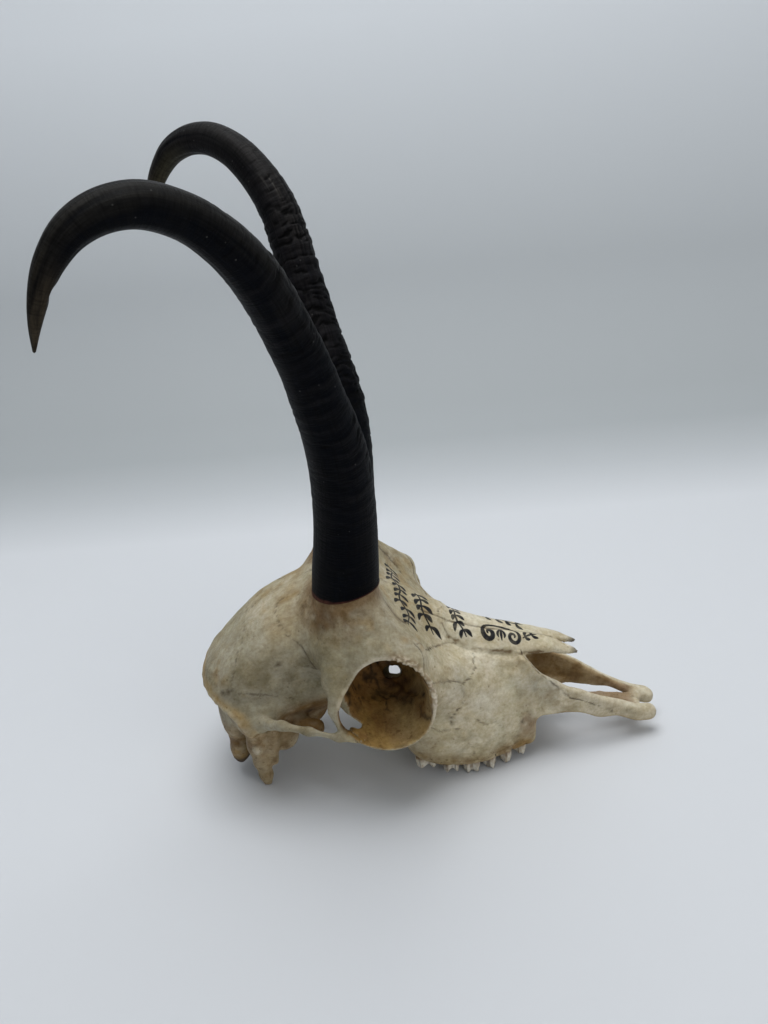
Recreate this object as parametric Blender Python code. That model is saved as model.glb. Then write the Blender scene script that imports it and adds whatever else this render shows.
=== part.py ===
"""Chamois skull with its two horn sheaths, resting on its cheek teeth and the two
processes behind the ears. Metres, +Z up, +X towards the nose, +Y the animal's left.

The skull grew as one bone and is one solid. It is described by a field that is
negative inside the bone, built from rounded forms that blend into each other, and
then turned into a mesh. Horns and teeth are lofted and sit in it with a small gap.
Lengths inside the field are in millimetres from the middle of the horn bases."""

import math

import bmesh
import bpy
import numpy as np

MM = 0.001
GAP = 0.3                # between pieces that touch
VOXEL = 1.3              # grid of the skull's field
SKULL_TRIANGLES = 4500

HORN_HEIGHT = 98.6       # of the horn bases over the ground
HORN_SPACING = 44.0      # between the middles of the two bases
HORN_LEAN = 12.9         # degrees outwards
HORN_TOE_OUT = 28.7      # degrees that the hooks turn outwards
RIM_HEIGHT = 101.0       # of the level lower rim of both horns over the ground
HORN_SIDES = 16
HORN_STEP = 4.5          # along the horn, between its rings of vertices
HORN_RIDGE = 0.45        # how far the growth rings stand out

ORBIT = (13.5, 57.0)     # middle of the eye socket's rim, x and z
ORBIT_RADIUS = 19.6
RIM_Y = 47.0

SHIFT_X = -29.4          # puts the middle of the model's box on the origin

# Along the midline: x, top, height of the widest place, bottom, half width.
CRANIUM = [
    (-70.5, 51, 47, 43, 6), (-67.5, 57, 47, 39, 17), (-61, 63.5, 47, 34.5, 27),
    (-52, 72, 48, 30, 32.5), (-42, 81, 50, 29, 33.5), (-30, 88.5, 52, 30, 32),
    (-18, 94, 55, 32, 29.5), (-6, 96, 58, 34, 27), (6, 93.5, 60, 36, 25),
    (16, 87, 61, 38, 22), (27, 79, 59, 40, 18), (40, 72, 57, 42, 12),
]
# Horn in its own plane: back, up, radius.
HORN = [
    (0, 0, 13.9), (0, 12, 13.8), (0, 24, 13.2), (0.3, 36, 12.7), (1.3, 50, 12.3),
    (3.2, 65, 11.9), (7.2, 81, 11.1), (11.7, 94, 10.2), (16, 107, 9.5), (21.4, 120, 9.1),
    (27.3, 133, 8.9), (34.5, 146, 8.6), (44, 158, 7.9), (56.5, 168.5, 7.4), (71.5, 174, 7.0),
    (82, 173, 6.4), (90.5, 168.8, 5.6), (97, 161.5, 4.6), (101.5, 152.5, 3.5),
    (104.6, 142.5, 1.9), (106, 135.2, 0.5),
]
# Forehead: x, height at the midline, height at the brow, and half width.
BROW = [
    (-14, 95, 74, 38), (-4, 96.5, 80, 42), (6, 93.5, 82.5, 44), (14, 88.5, 82.5, 44),
    (22, 82.5, 79, 43), (29, 78, 70, 38), (34, 75, 60, 27), (38, 73, 57, 18), (46, 69, 54, 10),
]
# Side of the face: x, half width at the teeth, at mid height, at the nasals, and bottom.
FACE = [
    (19, 26, 31, 22, 18), (25, 28.5, 33, 20, 12), (34, 29.5, 33, 15.5, 8.0),
    (45, 29.5, 30.5, 12.6, 6.5), (55, 27.8, 27.8, 11.4, 5.8), (65, 24.3, 24.3, 11.2, 7.3),
    (73, 21.2, 21.2, 11.5, 9.2), (80.5, 18.8, 18.8, 12.5, 12),
]
# Nasal bones: x, top, half width, drop from the middle to the edge.
NASAL = [
    (33, 76.5, 8, 4), (42, 72, 11.2, 8), (50, 68.5, 12.4, 10), (62, 63.5, 12.2, 8),
    (75, 59.2, 11, 6), (86, 55.6, 9.2, 4), (95, 51.8, 6.6, 2), (101.8, 47.6, 4.1, 0.6),
]
# Muzzle plate: x, top, bottom, distance from the midline, half thickness.
PLATE = [
    (74, 54.5, 22, 15.6, 1.6), (80, 49, 21.5, 15.8, 1.6), (87, 40, 20.5, 14.9, 1.7),
    (92, 36.6, 20, 14.0, 1.9), (101.5, 32, 18, 12.3, 2.1), (111, 26, 14, 10.8, 2.2),
    (121, 20.2, 11, 9.2, 2.4), (129, 15.8, 8, 7.8, 3.0), (137.5, 13.8, 6.0, 6.3, 3.9),
]
# Upper cheek teeth: name, x from, x to, distance of the middle from the midline, tip.
TEETH = [
    ("p2", 70.3, 75.6, 16.6, 2.0), ("p3", 62.8, 68.4, 19.6, 0.5),
    ("p4", 55.0, 60.8, 22.4, 0.0), ("m1", 45.6, 53.0, 24.4, 0.0),
    ("m2", 36.0, 43.6, 25.0, 1.6), ("m3", 24.0, 34.0, 24.0, 4.4),
]
TOOTH_WIDTH = 6.6
ROOT = 4.5               # depth of a tooth in its socket


def smooth(a, b, k):
    """Union of two fields with a fillet about k wide."""
    h = np.clip(0.5 + 0.5 * (b - a) / k, 0, 1)
    return b * (1 - h) + a * h - k * h * (1 - h)


def cut(a, b, k):
    """Field a without field b."""
    return -smooth(-a, b, k)


def smooth_max(a, b, k):
    """Overlap of two fields with a rounded edge."""
    return -smooth(-a, -b, k)


def curve(rows, x, column):
    """Smooth curve through one column of rows whose first column is x."""
    xs = np.array([row[0] for row in rows], float)
    vs = np.array([row[column] for row in rows], float)
    slopes = np.gradient(vs, xs)
    x = np.clip(x, xs[0], xs[-1])
    i = np.clip(np.searchsorted(xs, x) - 1, 0, len(xs) - 2)
    step = xs[i + 1] - xs[i]
    t = (x - xs[i]) / step
    return (
        vs[i] * (1 + 2 * t) * (1 - t) ** 2 + slopes[i] * step * t * (1 - t) ** 2
        + vs[i + 1] * t * t * (3 - 2 * t) + slopes[i + 1] * step * t * t * (t - 1)
    )


def ellipsoid(p, centre, radii, turn=0.0):
    """Turn is about the y axis, in degrees, nose up."""
    x, y, z = p[0] - centre[0], p[1] - centre[1], p[2] - centre[2]
    c, s = math.cos(math.radians(turn)), math.sin(math.radians(turn))
    x, z = c * x + s * z, c * z - s * x
    near = np.sqrt((x / radii[0]) ** 2 + (y / radii[1]) ** 2 + (z / radii[2]) ** 2)
    far = np.sqrt((x / radii[0] ** 2) ** 2 + (y / radii[1] ** 2) ** 2 + (z / radii[2] ** 2) ** 2)
    return near * (near - 1) / np.maximum(far, 1e-6)


def cone(p, a, b, ra, rb, squash=(1, 1, 1)):
    """Rounded cone from a to b; squash stretches the measure along x, y and z."""
    a, b, s = np.array(a, float), np.array(b, float), np.array(squash, float)
    line = (b - a) * s
    q = [(p[i] - a[i]) * s[i] for i in range(3)]
    t = np.clip(sum(q[i] * line[i] for i in range(3)) / line.dot(line), 0, 1)
    away = np.sqrt(sum((q[i] - t * line[i]) ** 2 for i in range(3)))
    return (away - (ra + (rb - ra) * t)) / s.max()


def chain(p, points, k, squash=(1, 1, 1)):
    """Cones through points (x, y, z, radius)."""
    field = None
    for a, b in zip(points, points[1:]):
        piece = cone(p, a[:3], b[:3], a[3], b[3], squash)
        field = piece if field is None else smooth(field, piece, k)
    return field


def cranium(p):
    x, y, z = p
    top, wide = curve(CRANIUM, x, 1), curve(CRANIUM, x, 2)
    low, half = curve(CRANIUM, x, 3), curve(CRANIUM, x, 4)
    tall = np.where(z > wide, top - wide, wide - low)
    ratio = ((y / half) ** 2.3 + (np.abs(z - wide) / tall) ** 2.3) ** (1 / 2.3)
    field = (ratio - 1) * np.minimum(half, tall)
    past = np.maximum(CRANIUM[0][0] - x, 0) + np.maximum(x - CRANIUM[-1][0], 0)
    return np.where(past > 0, np.sqrt(np.maximum(field, 0) ** 2 + past ** 2), field)


def forehead(p):
    """Slab between the pedicles, the brows and the root of the nose."""
    x, y, z = p
    middle, side, half = curve(BROW, x, 1), curve(BROW, x, 2), curve(BROW, x, 3)
    top = middle - (middle - side) * (np.minimum(y, half + 4) / half) ** 2
    field = smooth_max(z - top, np.maximum(y - half, top - 15 - z), 5)
    return smooth_max(field, np.maximum(x - BROW[-1][0], BROW[0][0] - x), 4)


def nasal_top(x, y):
    half = curve(NASAL, x, 2)
    return curve(NASAL, x, 1) - curve(NASAL, x, 3) * (y / half) ** 2


def face(p):
    x, y, z = p
    low = curve(FACE, x, 4)
    top = nasal_top(x, np.minimum(y, 12.0)) - np.interp(x, [36, 50], [1.0, 2.2])
    t = np.clip((z - low) / np.maximum(nasal_top(x, 12.0) - low, 1), 0, 1)
    at_teeth, middle, at_nasals = (curve(FACE, x, i) for i in (1, 2, 3))
    side = at_teeth * (1 - t) * (1 - 2 * t) + middle * 4 * t * (1 - t) + at_nasals * t * (2 * t - 1)
    field = smooth_max(smooth_max(y - side, z - top, 2.5), low - z, 1.5)
    return smooth_max(field, np.maximum(x - FACE[-1][0], FACE[0][0] - x), 3)


def nasals(p):
    x, y, z = p
    half = curve(NASAL, x, 2)
    top = nasal_top(x, np.minimum(y, half))
    thick = np.interp(x, [33, 70, 101.8], [7, 3.6, 2.8])
    field = smooth_max(np.maximum(z - top, top - thick - z), y - half, 1.5)
    slit = np.interp(x, [93, 101.8], [0, 1.6]) - y
    field = np.where(x > 92, np.maximum(field, slit), field)
    return smooth_max(field, np.maximum(x - 101.8, 33 - x), 1.0)


def plates(p):
    x, y, z = p
    top, low = curve(PLATE, x, 1), curve(PLATE, x, 2)
    middle, half = curve(PLATE, x, 3), curve(PLATE, x, 4)
    middle = middle + np.interp(x, [74, 95], [1.8, 0.0]) * (0.5 * (top + low) - z) / (top - low) * 2
    r = half * 0.9
    a = np.abs(y - middle) - half + r
    b = np.abs(z - 0.5 * (top + low)) - 0.5 * (top - low) + r
    field = np.sqrt(np.maximum(a, 0) ** 2 + np.maximum(b, 0) ** 2) + np.minimum(np.maximum(a, b), 0) - r
    field = smooth_max(field, z - nasal_top(x, np.minimum(y, 11)) + 1.8, 1)
    return smooth_max(smooth_max(field, x - 139.4, 5), PLATE[0][0] - x, 2)


def skull(p):
    """Field of the whole bone; p holds x, |y| and z in millimetres."""
    x, y, z = p
    ox, oz = ORBIT
    root, up = horn_root(1), horn_axes(1)[1]
    # Braincase, forehead, pedicle, brow, eye socket, cheek, face, and the ledge by the ear.
    bone = cranium(p)
    bone = smooth(bone, forehead(p), 8)
    bone = smooth(bone, cone(p, root - 24 * up, root + 3 * up, 18.5, 13.4), 9)
    bone = smooth(bone, cone(p, (6, 27, 84), (20, 36, 79), 11, 8), 9)
    socket = cone(p, (6, 12, 60), (ox, RIM_Y - 20, oz + 1), 22, 23.5)
    socket = smooth(socket, cone(p, (ox, RIM_Y - 22, oz + 1), (ox, RIM_Y - 1, oz), 23.5, 21.0), 3)
    socket = smooth_max(socket, y - RIM_Y + (z - oz) * 0.12, 2)
    bone = smooth(bone, socket, 6)
    bone = smooth(bone, cone(p, (15, 26, 57), (50, 15, 40), 19.5, 12), 5)
    bone = smooth(bone, face(p), 6)
    bone = smooth(bone, ellipsoid(p, (-48, 30, 43), (14, 7, 6.5), 12), 6)

    # Hollows: eye socket, temple, the way through below it, nose cavity, palate and throat.
    inside = cone(p, (ox - 3, 26, oz + 1), (ox, RIM_Y + 12, oz), 14, ORBIT_RADIUS + 3.2)
    bone = cut(bone, inside, 1.5)
    bone = smooth(bone, ellipsoid(p, (-30, 12, 33), (15, 12, 8)), 5)
    fossa = chain(p, [(-31, 45, 62, 11), (-17, 43, 57, 13), (-10, 40, 48, 7)], 5)
    bone = cut(bone, fossa, 4)
    bone = cut(bone, chain(p, [(-9, 44, 46, 5), (-3, 32, 40.5, 5), (-3, 18, 34, 5.5)], 3), 3)
    hollow = np.minimum(curve(PLATE, x, 3) - 2.4, np.interp(x, [62, 78, 92], [7, 9.6, 12]))
    cavity = smooth_max(y - hollow, 24.5 - z, 3)
    cavity = np.maximum(cavity, z - nasal_top(x, y) + 3.0)
    bone = cut(bone, np.maximum(cavity, 62 - x), 1.5)
    vault = ellipsoid(p, (44, 0, 8), (46, 17, 13))
    bone = cut(bone, vault, 3)
    bone = cut(bone, ellipsoid(p, (12, 0, 22), (16, 8, 14)), 3)

    # Thin parts: socket's rim, the bar behind it, cheek arch, nasals and muzzle prongs.
    rim = np.sqrt((np.hypot(x - ox, z - oz) - ORBIT_RADIUS - 1.0) ** 2
                  + (y - RIM_Y + 1.2 + (z - oz) * 0.12) ** 2) - 1.7
    bone = smooth(bone, rim, 2)
    bar = chain(p, [(-8, 36, 80, 6), (-9, 42, 67, 4.6), (-8.3, 46, 55, 3.6), (-5.5, 49, 46, 2.8)],
                3, (1, 1.4, 1))
    bone = smooth(bone, bar, 3)
    arch = chain(p, [(4, 50, 38.5, 2.0), (-8, 50, 43, 2.4), (-20, 47.5, 46.5, 2.6),
                     (-32, 42.5, 48.5, 3.2), (-42, 34, 46, 6)], 3, (1, 1.3, 1))
    bone = smooth(bone, arch, 3)
    bone = smooth(bone, nasals(p), 1.0)
    bone = smooth(bone, plates(p), 4)
    floor = np.maximum(np.maximum(np.abs(z - np.interp(x, [60, 103], [22.5, 18.5])) - 1.6,
                                  y - curve(PLATE, x, 3)), np.maximum(x - 103, 60 - x))
    bone = smooth(bone, floor, 2)
    bone = smooth(bone, chain(p, [(98, 0, 18.5, 2.4), (114, 0, 16, 2.0), (129, 0, 12.5, 2.0)], 1), 1)
    bone = smooth(bone, cone(p, (129, 0, 12), (130, 7, 11), 2.2, 2.6), 1.5)

    # Underside: keel, wings of the throat, condyles, ear capsules and the long processes.
    bone = smooth(bone, cone(p, (-58, 0, 31), (10, 0, 38), 6, 5, (1, 0.7, 1)), 5)
    bone = smooth(bone, cone(p, (6, 9, 34), (24, 11, 26), 2.2, 2.2), 4)
    bone = smooth(bone, ellipsoid(p, (-57.5, 11, 17.5), (5.5, 6.5, 11), -12), 4)
    bone = smooth(bone, ellipsoid(p, (-58, 7, 32), (8, 16, 12)), 4)
    bone = smooth(bone, ellipsoid(p, (-36, 18.5, 26), (8, 6, 10)), 3)
    process = chain(p, [(-46, 25, 36, 7), (-45.8, 24, 20, 5.0), (-45.2, 23.3, 9, 3.7),
                        (-44.7, 23, 1.3, 2.6)], 2, (1, 1.35, 1))
    bone = smooth(bone, process, 3)
    bone = cut(bone, ellipsoid(p, (-68, 0, 27), (12, 7, 8), 20), 2)

    # The pedicle ends level, just below the horn's rim.
    apart = [p[i] - root[i] for i in range(3)]
    along = sum(apart[i] * up[i] for i in range(3))
    across = np.sqrt(np.maximum(sum(a * a for a in apart) - along ** 2, 0))
    seat = z - RIM_HEIGHT + GAP
    return np.maximum(bone, np.where(across < 24, seat, -99.0))


def horn_axes(side):
    """Backwards and upwards directions of a horn's plane."""
    lean, toe = math.radians(HORN_LEAN), math.radians(HORN_TOE_OUT)
    back = np.array([-math.cos(toe), side * math.sin(toe), 0])
    up = np.array([0, side * math.sin(lean), math.cos(lean)])
    up = up - up.dot(back) * back
    return back, up / np.linalg.norm(up)


def horn_root(side):
    return np.array([0, side * HORN_SPACING / 2, HORN_HEIGHT])


def surface(field, corner, step):
    """Closed mesh of a field's zero level, from six tetrahedra in each cell of its grid."""
    shape = np.array(field.shape)
    inside = field < 0
    near = [inside[i:shape[0] - 1 + i, j:shape[1] - 1 + j, k:shape[2] - 1 + k]
            for i in (0, 1) for j in (0, 1) for k in (0, 1)]
    total = sum(part.astype(np.int8) for part in near)
    cells = np.argwhere((total > 0) & (total < 8))
    flat, solid = field.ravel(), inside.ravel()
    reach = np.array([shape[1] * shape[2], shape[2], 1])
    bits = np.array([[(n >> a) & 1 for a in range(3)] for n in range(8)])
    keys, outward = [], []
    for path in ((1, 3), (3, 2), (2, 6), (6, 4), (4, 5), (5, 1)):
        low, high = min(path, key=lambda n: bin(n).count("1")), max(path, key=lambda n: bin(n).count("1"))
        names = np.array([0, low, high, 7])
        corners = (cells[:, None, :] + bits[names][None]) @ reach
        state = solid[corners]
        code = state @ np.array([1, 2, 4, 8])
        for case in range(1, 15):
            chosen = corners[code == case]
            if not len(chosen):
                continue
            ins = [n for n in range(4) if case >> n & 1]
            outs = [n for n in range(4) if n not in ins]
            if len(ins) == 2:
                a, b, c, d = ins[0], ins[1], outs[0], outs[1]
                faces = [((a, c), (a, d), (b, d)), ((a, c), (b, d), (b, c))]
            else:
                lone, rest = (ins[0], outs) if len(ins) == 1 else (outs[0], ins)
                faces = [tuple((lone, n) for n in rest)]
            away = bits[names[outs]].mean(0) - bits[names[ins]].mean(0)
            for face in faces:
                pairs = np.array([(min(e), max(e)) for e in face])
                keys.append(chosen[:, pairs])
                outward.append(np.tile(away, (len(chosen), 1)))
    keys, outward = np.concatenate(keys), np.concatenate(outward)
    edges, index = np.unique(keys.reshape(-1, 2), axis=0, return_inverse=True)
    faces = index.reshape(-1, 3)
    fa, fb = flat[edges[:, 0]], flat[edges[:, 1]]
    t = np.clip(fa / (fa - fb), 0.04, 0.96)[:, None]
    ends = [np.stack(np.unravel_index(edges[:, n], field.shape), 1) for n in (0, 1)]
    verts = ends[0] * (1 - t) + ends[1] * t
    normal = np.cross(verts[faces[:, 1]] - verts[faces[:, 0]], verts[faces[:, 2]] - verts[faces[:, 0]])
    turned = (normal * outward).sum(1) < 0
    faces[turned] = faces[turned][:, ::-1]
    return corner + step * verts, faces


def placed(points):
    """Millimetres from the horn bases to metres from the model's origin."""
    points = np.asarray(points, float)
    return (points + np.array([SHIFT_X, 0, 0])) * MM


def new_object(name, verts, faces, material):
    mesh = bpy.data.meshes.new(name)
    mesh.from_pydata([tuple(v) for v in verts], [], [tuple(int(i) for i in f) for f in faces])
    mesh.validate()
    mesh.update()
    mesh.materials.append(material)
    obj = bpy.data.objects.new(name, mesh)
    bpy.context.scene.collection.objects.link(obj)
    return obj


def make_material(name, colour, roughness):
    material = bpy.data.materials.new(name)
    material.use_nodes = True
    shader = material.node_tree.nodes["Principled BSDF"]
    shader.inputs["Base Color"].default_value = (*colour, 1)
    shader.inputs["Roughness"].default_value = roughness
    shader.inputs["Metallic"].default_value = 0
    return material


def make_skull(material, cutters):
    xs = np.arange(-76, 146, VOXEL)
    ys = np.arange(-54 - VOXEL / 2, 56, VOXEL)
    zs = np.arange(-3, 106, VOXEL)
    x, y, z = np.meshgrid(xs, ys, zs, indexing="ij")
    verts, faces = surface(skull((x, np.abs(y), z)), np.array([xs[0], ys[0], zs[0]]), VOXEL)
    obj = new_object("skull", placed(verts), faces, material)
    coarser = obj.modifiers.new("coarser", "DECIMATE")
    coarser.ratio = SKULL_TRIANGLES / len(faces)
    for cutter in cutters:
        boolean = obj.modifiers.new(cutter.name, "BOOLEAN")
        boolean.operation = "DIFFERENCE"
        boolean.solver = "EXACT"
        boolean.object = cutter
    obj.data.shade_smooth()
    return obj


def loft(rings, name, material):
    """Closed body through rings of equally many points, with flat ends."""
    count = len(rings[0])
    faces = [tuple(reversed(range(count)))]
    for r in range(len(rings) - 1):
        for i in range(count):
            j = (i + 1) % count
            faces.append((r * count + i, r * count + j, (r + 1) * count + j, (r + 1) * count + i))
    faces.append(tuple(range((len(rings) - 1) * count, len(rings) * count)))
    return new_object(name, placed(np.concatenate(rings)), faces, material)


def ridge(s, length):
    """Height of the growth rings at a distance along the horn."""
    phase = s / 7.6 + 0.35 * math.sin(s / 17)
    swell = max(math.cos(2 * math.pi * phase), -0.35)
    fade = min(max((s - 18) / 30, 0), 1) * min(max((length * 0.66 - s) / 35, 0), 1)
    return swell * fade


def make_horn(name, side, material):
    back, up = horn_axes(side)
    rows = np.array(HORN, float)
    reach = np.concatenate([[0], np.cumsum(np.hypot(np.diff(rows[:, 0]), np.diff(rows[:, 1])))])
    line = [(reach[i], *rows[i]) for i in range(len(rows))]
    across = np.cross(back, up)
    rings = []
    stops = np.linspace(0, reach[-1], round(reach[-1] / HORN_STEP))
    stops = [0] + [s for s in stops if s > 7]
    for s in stops:
        u, v, r = (float(curve(line, s, i)) for i in (1, 2, 3))
        du = float(curve(line, s + 0.5, 1) - curve(line, s - 0.5, 1))
        dv = float(curve(line, s + 0.5, 2) - curve(line, s - 0.5, 2))
        if s == 0:
            du, dv = 0.0, 1.0
        size = math.hypot(du, dv)
        normal = (dv * back - du * up) / size
        r += HORN_RIDGE * ridge(s, reach[-1]) + 0.35 * math.exp(-s / 2.5)
        middle = horn_root(side) + u * back + v * up
        ring = []
        for i in range(HORN_SIDES):
            a = -side * 2 * math.pi * i / HORN_SIDES
            point = middle + r * (math.cos(a) * normal + math.sin(a) * across)
            if s == 0:
                point = point + up * (RIM_HEIGHT - point[2]) / up[2]
            ring.append(point)
        rings.append(np.array(ring))
    return loft(rings, name, material)


def crown(row, side, grow, top):
    """Rings of a cheek tooth: two lobes on a molar, one on a premolar."""
    name, x0, x1, middle, tip = row
    lobes = 2 if name.startswith("m") else 1
    rings = []
    half_x, half_y = (x1 - x0) / 2, TOOTH_WIDTH / 2
    for z, scale in ((top, 0.86), (tip + 1.4, 1.0), (tip, 0.84)):
        ring = []
        for i in range(10):
            a = 2 * math.pi * (i + 0.5) / 10
            waist = 1 - 0.16 * (lobes - 1) * math.exp(-(math.cos(a) / 0.35) ** 2)
            along = math.copysign(abs(math.cos(a)) ** 0.7, math.cos(a))
            across = math.copysign(abs(math.sin(a)) ** 0.7, math.sin(a))
            px = (x0 + x1) / 2 + (half_x * scale + grow) * along
            py = middle + (half_y * scale * waist + grow) * across
            ring.append((px, side * py, z))
        rings.append(np.array(ring[::-side]))
    return rings


def gum(x):
    return float(curve(FACE, np.array(x), 4))


def make_tooth(row, side, material):
    name, x0, x1, middle, tip = row
    where = "left" if side > 0 else "right"
    top = gum((x0 + x1) / 2) + ROOT
    return loft(crown(row, side, 0.0, top)[::-1], f"tooth_{name}_{where}", material)


def make_sockets(material):
    """Cutters for the roots, one object for each row of teeth."""
    cutters = []
    for side, where in ((-1, "right"), (1, "left")):
        for row in TEETH:
            name, x0, x1, middle, tip = row
            top = gum((x0 + x1) / 2) + ROOT + GAP
            socket = loft(crown(row, side, GAP, top)[::-1], f"socket_{name}_{where}", material)
            cutters.append(socket)
    return cutters


def make_ground(material):
    """Cutter that wears the lowest tips flat at the height that they rest on."""
    corners = [(x, y, z) for x in (-90, 160) for y in (-70, 70) for z in (-20, 0)]
    faces = [(0, 1, 3, 2), (4, 6, 7, 5), (0, 4, 5, 1), (2, 3, 7, 6), (0, 2, 6, 4), (1, 5, 7, 3)]
    return new_object("ground", placed(corners), faces, material)


def main():
    for item in list(bpy.data.objects):
        bpy.data.objects.remove(item, do_unlink=True)
    bone = make_material("bone", (0.62, 0.55, 0.43), 0.6)
    horn = make_material("horn", (0.025, 0.022, 0.024), 0.42)
    enamel = make_material("tooth", (0.66, 0.6, 0.48), 0.4)
    cutters = make_sockets(bone) + [make_ground(bone)]
    for cutter in cutters:
        cutter.hide_render = True
        cutter.display_type = "WIRE"
        face_out(cutter)
    pieces = [make_skull(bone, cutters)]
    for side, where in ((-1, "right"), (1, "left")):
        pieces.append(make_horn(f"horn_{where}", side, horn))
        for row in TEETH:
            pieces.append(make_tooth(row, side, enamel))
    for piece in pieces:
        face_out(piece)
        piece.data.shade_smooth()
        piece.data.set_sharp_from_angle(angle=math.radians(50))


def face_out(obj):
    """Recalculates the normals outwards."""
    shape = bmesh.new()
    shape.from_mesh(obj.data)
    bmesh.ops.recalc_face_normals(shape, faces=shape.faces)
    shape.to_mesh(obj.data)
    shape.free()


main()
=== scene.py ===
"""Looks of a chamois skull with its horns: bone, horn sheaths and teeth in full detail,
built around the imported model. Lengths in the shapes below are millimetres, x from the
middle of the horn bases towards the nose, y to the animal's left, z over the ground."""

import math

import bpy
import numpy as np
from mathutils import Matrix, Vector
from mathutils.bvhtree import BVHTree


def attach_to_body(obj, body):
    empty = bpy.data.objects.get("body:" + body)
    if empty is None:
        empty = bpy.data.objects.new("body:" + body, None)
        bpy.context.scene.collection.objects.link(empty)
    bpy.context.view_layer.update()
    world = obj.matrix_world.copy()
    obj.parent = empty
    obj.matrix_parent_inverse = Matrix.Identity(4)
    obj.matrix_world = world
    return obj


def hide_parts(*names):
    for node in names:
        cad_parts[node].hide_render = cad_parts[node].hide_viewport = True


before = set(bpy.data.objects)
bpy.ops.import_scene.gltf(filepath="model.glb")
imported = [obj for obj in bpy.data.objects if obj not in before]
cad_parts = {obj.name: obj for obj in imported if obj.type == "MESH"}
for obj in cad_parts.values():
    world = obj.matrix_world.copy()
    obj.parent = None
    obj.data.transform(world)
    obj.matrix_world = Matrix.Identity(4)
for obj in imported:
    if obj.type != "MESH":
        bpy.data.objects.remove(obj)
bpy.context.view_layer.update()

MM = 0.001
SHIFT_X = -29.4
VOXEL = 0.75
BASE_TRIANGLES = 96000
MOST_TRIANGLES = 196000

HORN_HEIGHT, HORN_SPACING, HORN_LEAN, HORN_TOE_OUT = 98.6, 44.0, 12.9, 28.7
RIM_HEIGHT, RIM_TILT = 101.0, 0.14
ORBIT, ORBIT_RADIUS, RIM_Y = (14.5, 56.1), 20.7, 47.0

# Along the midline: x, top, height of the widest place, bottom, half width.
CRANIUM = [
    (-70.5, 51, 47, 43, 6), (-67.5, 57.5, 47, 39, 17), (-61, 64.5, 47, 34.5, 27),
    (-52, 73.4, 48, 30, 32.5), (-42, 82.8, 50, 29, 33.5), (-30, 90.3, 52, 30, 32),
    (-18, 95.4, 55, 32, 29.5), (-6, 96.5, 58, 34, 27), (6, 93.5, 60, 36, 25),
    (16, 87, 61, 38, 22), (27, 79, 59, 40, 18), (40, 72, 57, 42, 12),
]
# Horn in its own plane: back, up, radius.
HORN = [
    (0, 0, 13.9), (0, 12, 13.8), (0, 24, 13.2), (0.3, 36, 12.7), (1.3, 50, 12.3),
    (3.2, 65, 11.9), (7.2, 81, 11.1), (11.7, 94, 10.2), (16, 107, 9.5), (21.4, 120, 9.1),
    (27.3, 133, 8.9), (34.5, 146, 8.6), (44, 158, 7.9), (56.5, 168.5, 7.4), (71.5, 174, 7.0),
    (82, 173, 6.4), (90.5, 168.8, 5.6), (97, 161.5, 4.6), (101.5, 152.5, 3.5),
    (104.6, 142.5, 1.9), (106, 135.2, 0.5),
]
# Forehead: x, height at the midline, height at the brow, and half width.
BROW = [
    (-14, 95, 74, 38), (-4, 96.5, 80, 42), (6, 93.5, 85.4, 45), (13, 89.5, 86.2, 45.4),
    (18.5, 86, 81.2, 44.4), (23, 82.3, 75.4, 42.6), (28, 78.7, 67, 33), (34, 74.4, 57.5, 20),
    (38, 73, 57, 18), (46, 69, 54, 10),
]
# Side of the face: x, half width at the teeth, at mid height, at the nasals, and bottom.
FACE = [
    (19, 26, 31, 22, 18), (25, 28.5, 33, 20, 12), (34, 29.5, 33, 15.5, 8.0),
    (45, 29.5, 30.5, 12.6, 6.5), (55, 27.8, 27.8, 11.4, 5.8), (65, 24.3, 24.3, 11.2, 6.6),
    (73, 21.2, 21.2, 11.5, 7.2), (80.5, 18.8, 18.8, 12.5, 7.6),
]
# Nasal bones: x, top, half width, drop from the middle to the edge.
NASAL = [
    (33, 76.5, 8, 4), (42, 72, 11.2, 8), (50, 68.5, 12.4, 10), (62, 63.5, 12.2, 8),
    (75, 59.2, 11, 6), (86, 55.6, 9.2, 4), (95, 51.8, 6.6, 2), (102.6, 47.8, 3.6, 0.6),
]
# Muzzle plate: x, top, bottom, distance from the midline, half thickness.
PLATE = [
    (74, 54, 22, 15.6, 1.6), (80, 46, 21.5, 15.8, 1.6), (87, 39.7, 20.5, 14.9, 1.7),
    (92, 36.6, 20, 14.0, 1.9), (101.5, 32, 18, 12.3, 2.1), (111, 26, 13.2, 10.8, 2.2),
    (119.5, 21, 12.2, 9.4, 2.4), (129, 15.8, 7.6, 7.8, 3.2), (137.5, 13.8, 6.0, 6.3, 3.9),
]
# Upper cheek teeth: name, x from, x to, distance of the middle from the midline, tip.
TEETH = [
    ("p2", 70.3, 75.6, 16.6, 2.0), ("p3", 62.8, 68.4, 19.6, 0.5),
    ("p4", 55.0, 60.8, 22.4, 0.0), ("m1", 45.6, 53.0, 24.4, 0.0),
    ("m2", 36.0, 43.6, 25.0, 1.6), ("m3", 24.0, 34.0, 24.0, 4.4),
]
TOOTH_WIDTH, ROOT = 6.6, 4.5
BASE = 10.0
# Sharp crest round the back of the skull: x, |y|, z, radius.
CREST = [
    (-68.2, 0, 53.2, 1.1), (-67.8, 8, 53.2, 1.1), (-66.2, 15.1, 52.5, 1.1),
    (-63.9, 21.4, 51.5, 1.1), (-61.0, 25.5, 50.0, 1.1), (-57.0, 30.0, 48.8, 1.1),
    (-53.2, 33.4, 47.0, 1.2), (-50.0, 35.4, 43.6, 1.3), (-47.4, 34.8, 39.6, 1.4),
    (-45.6, 31.4, 35.6, 1.5),
]
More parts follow.
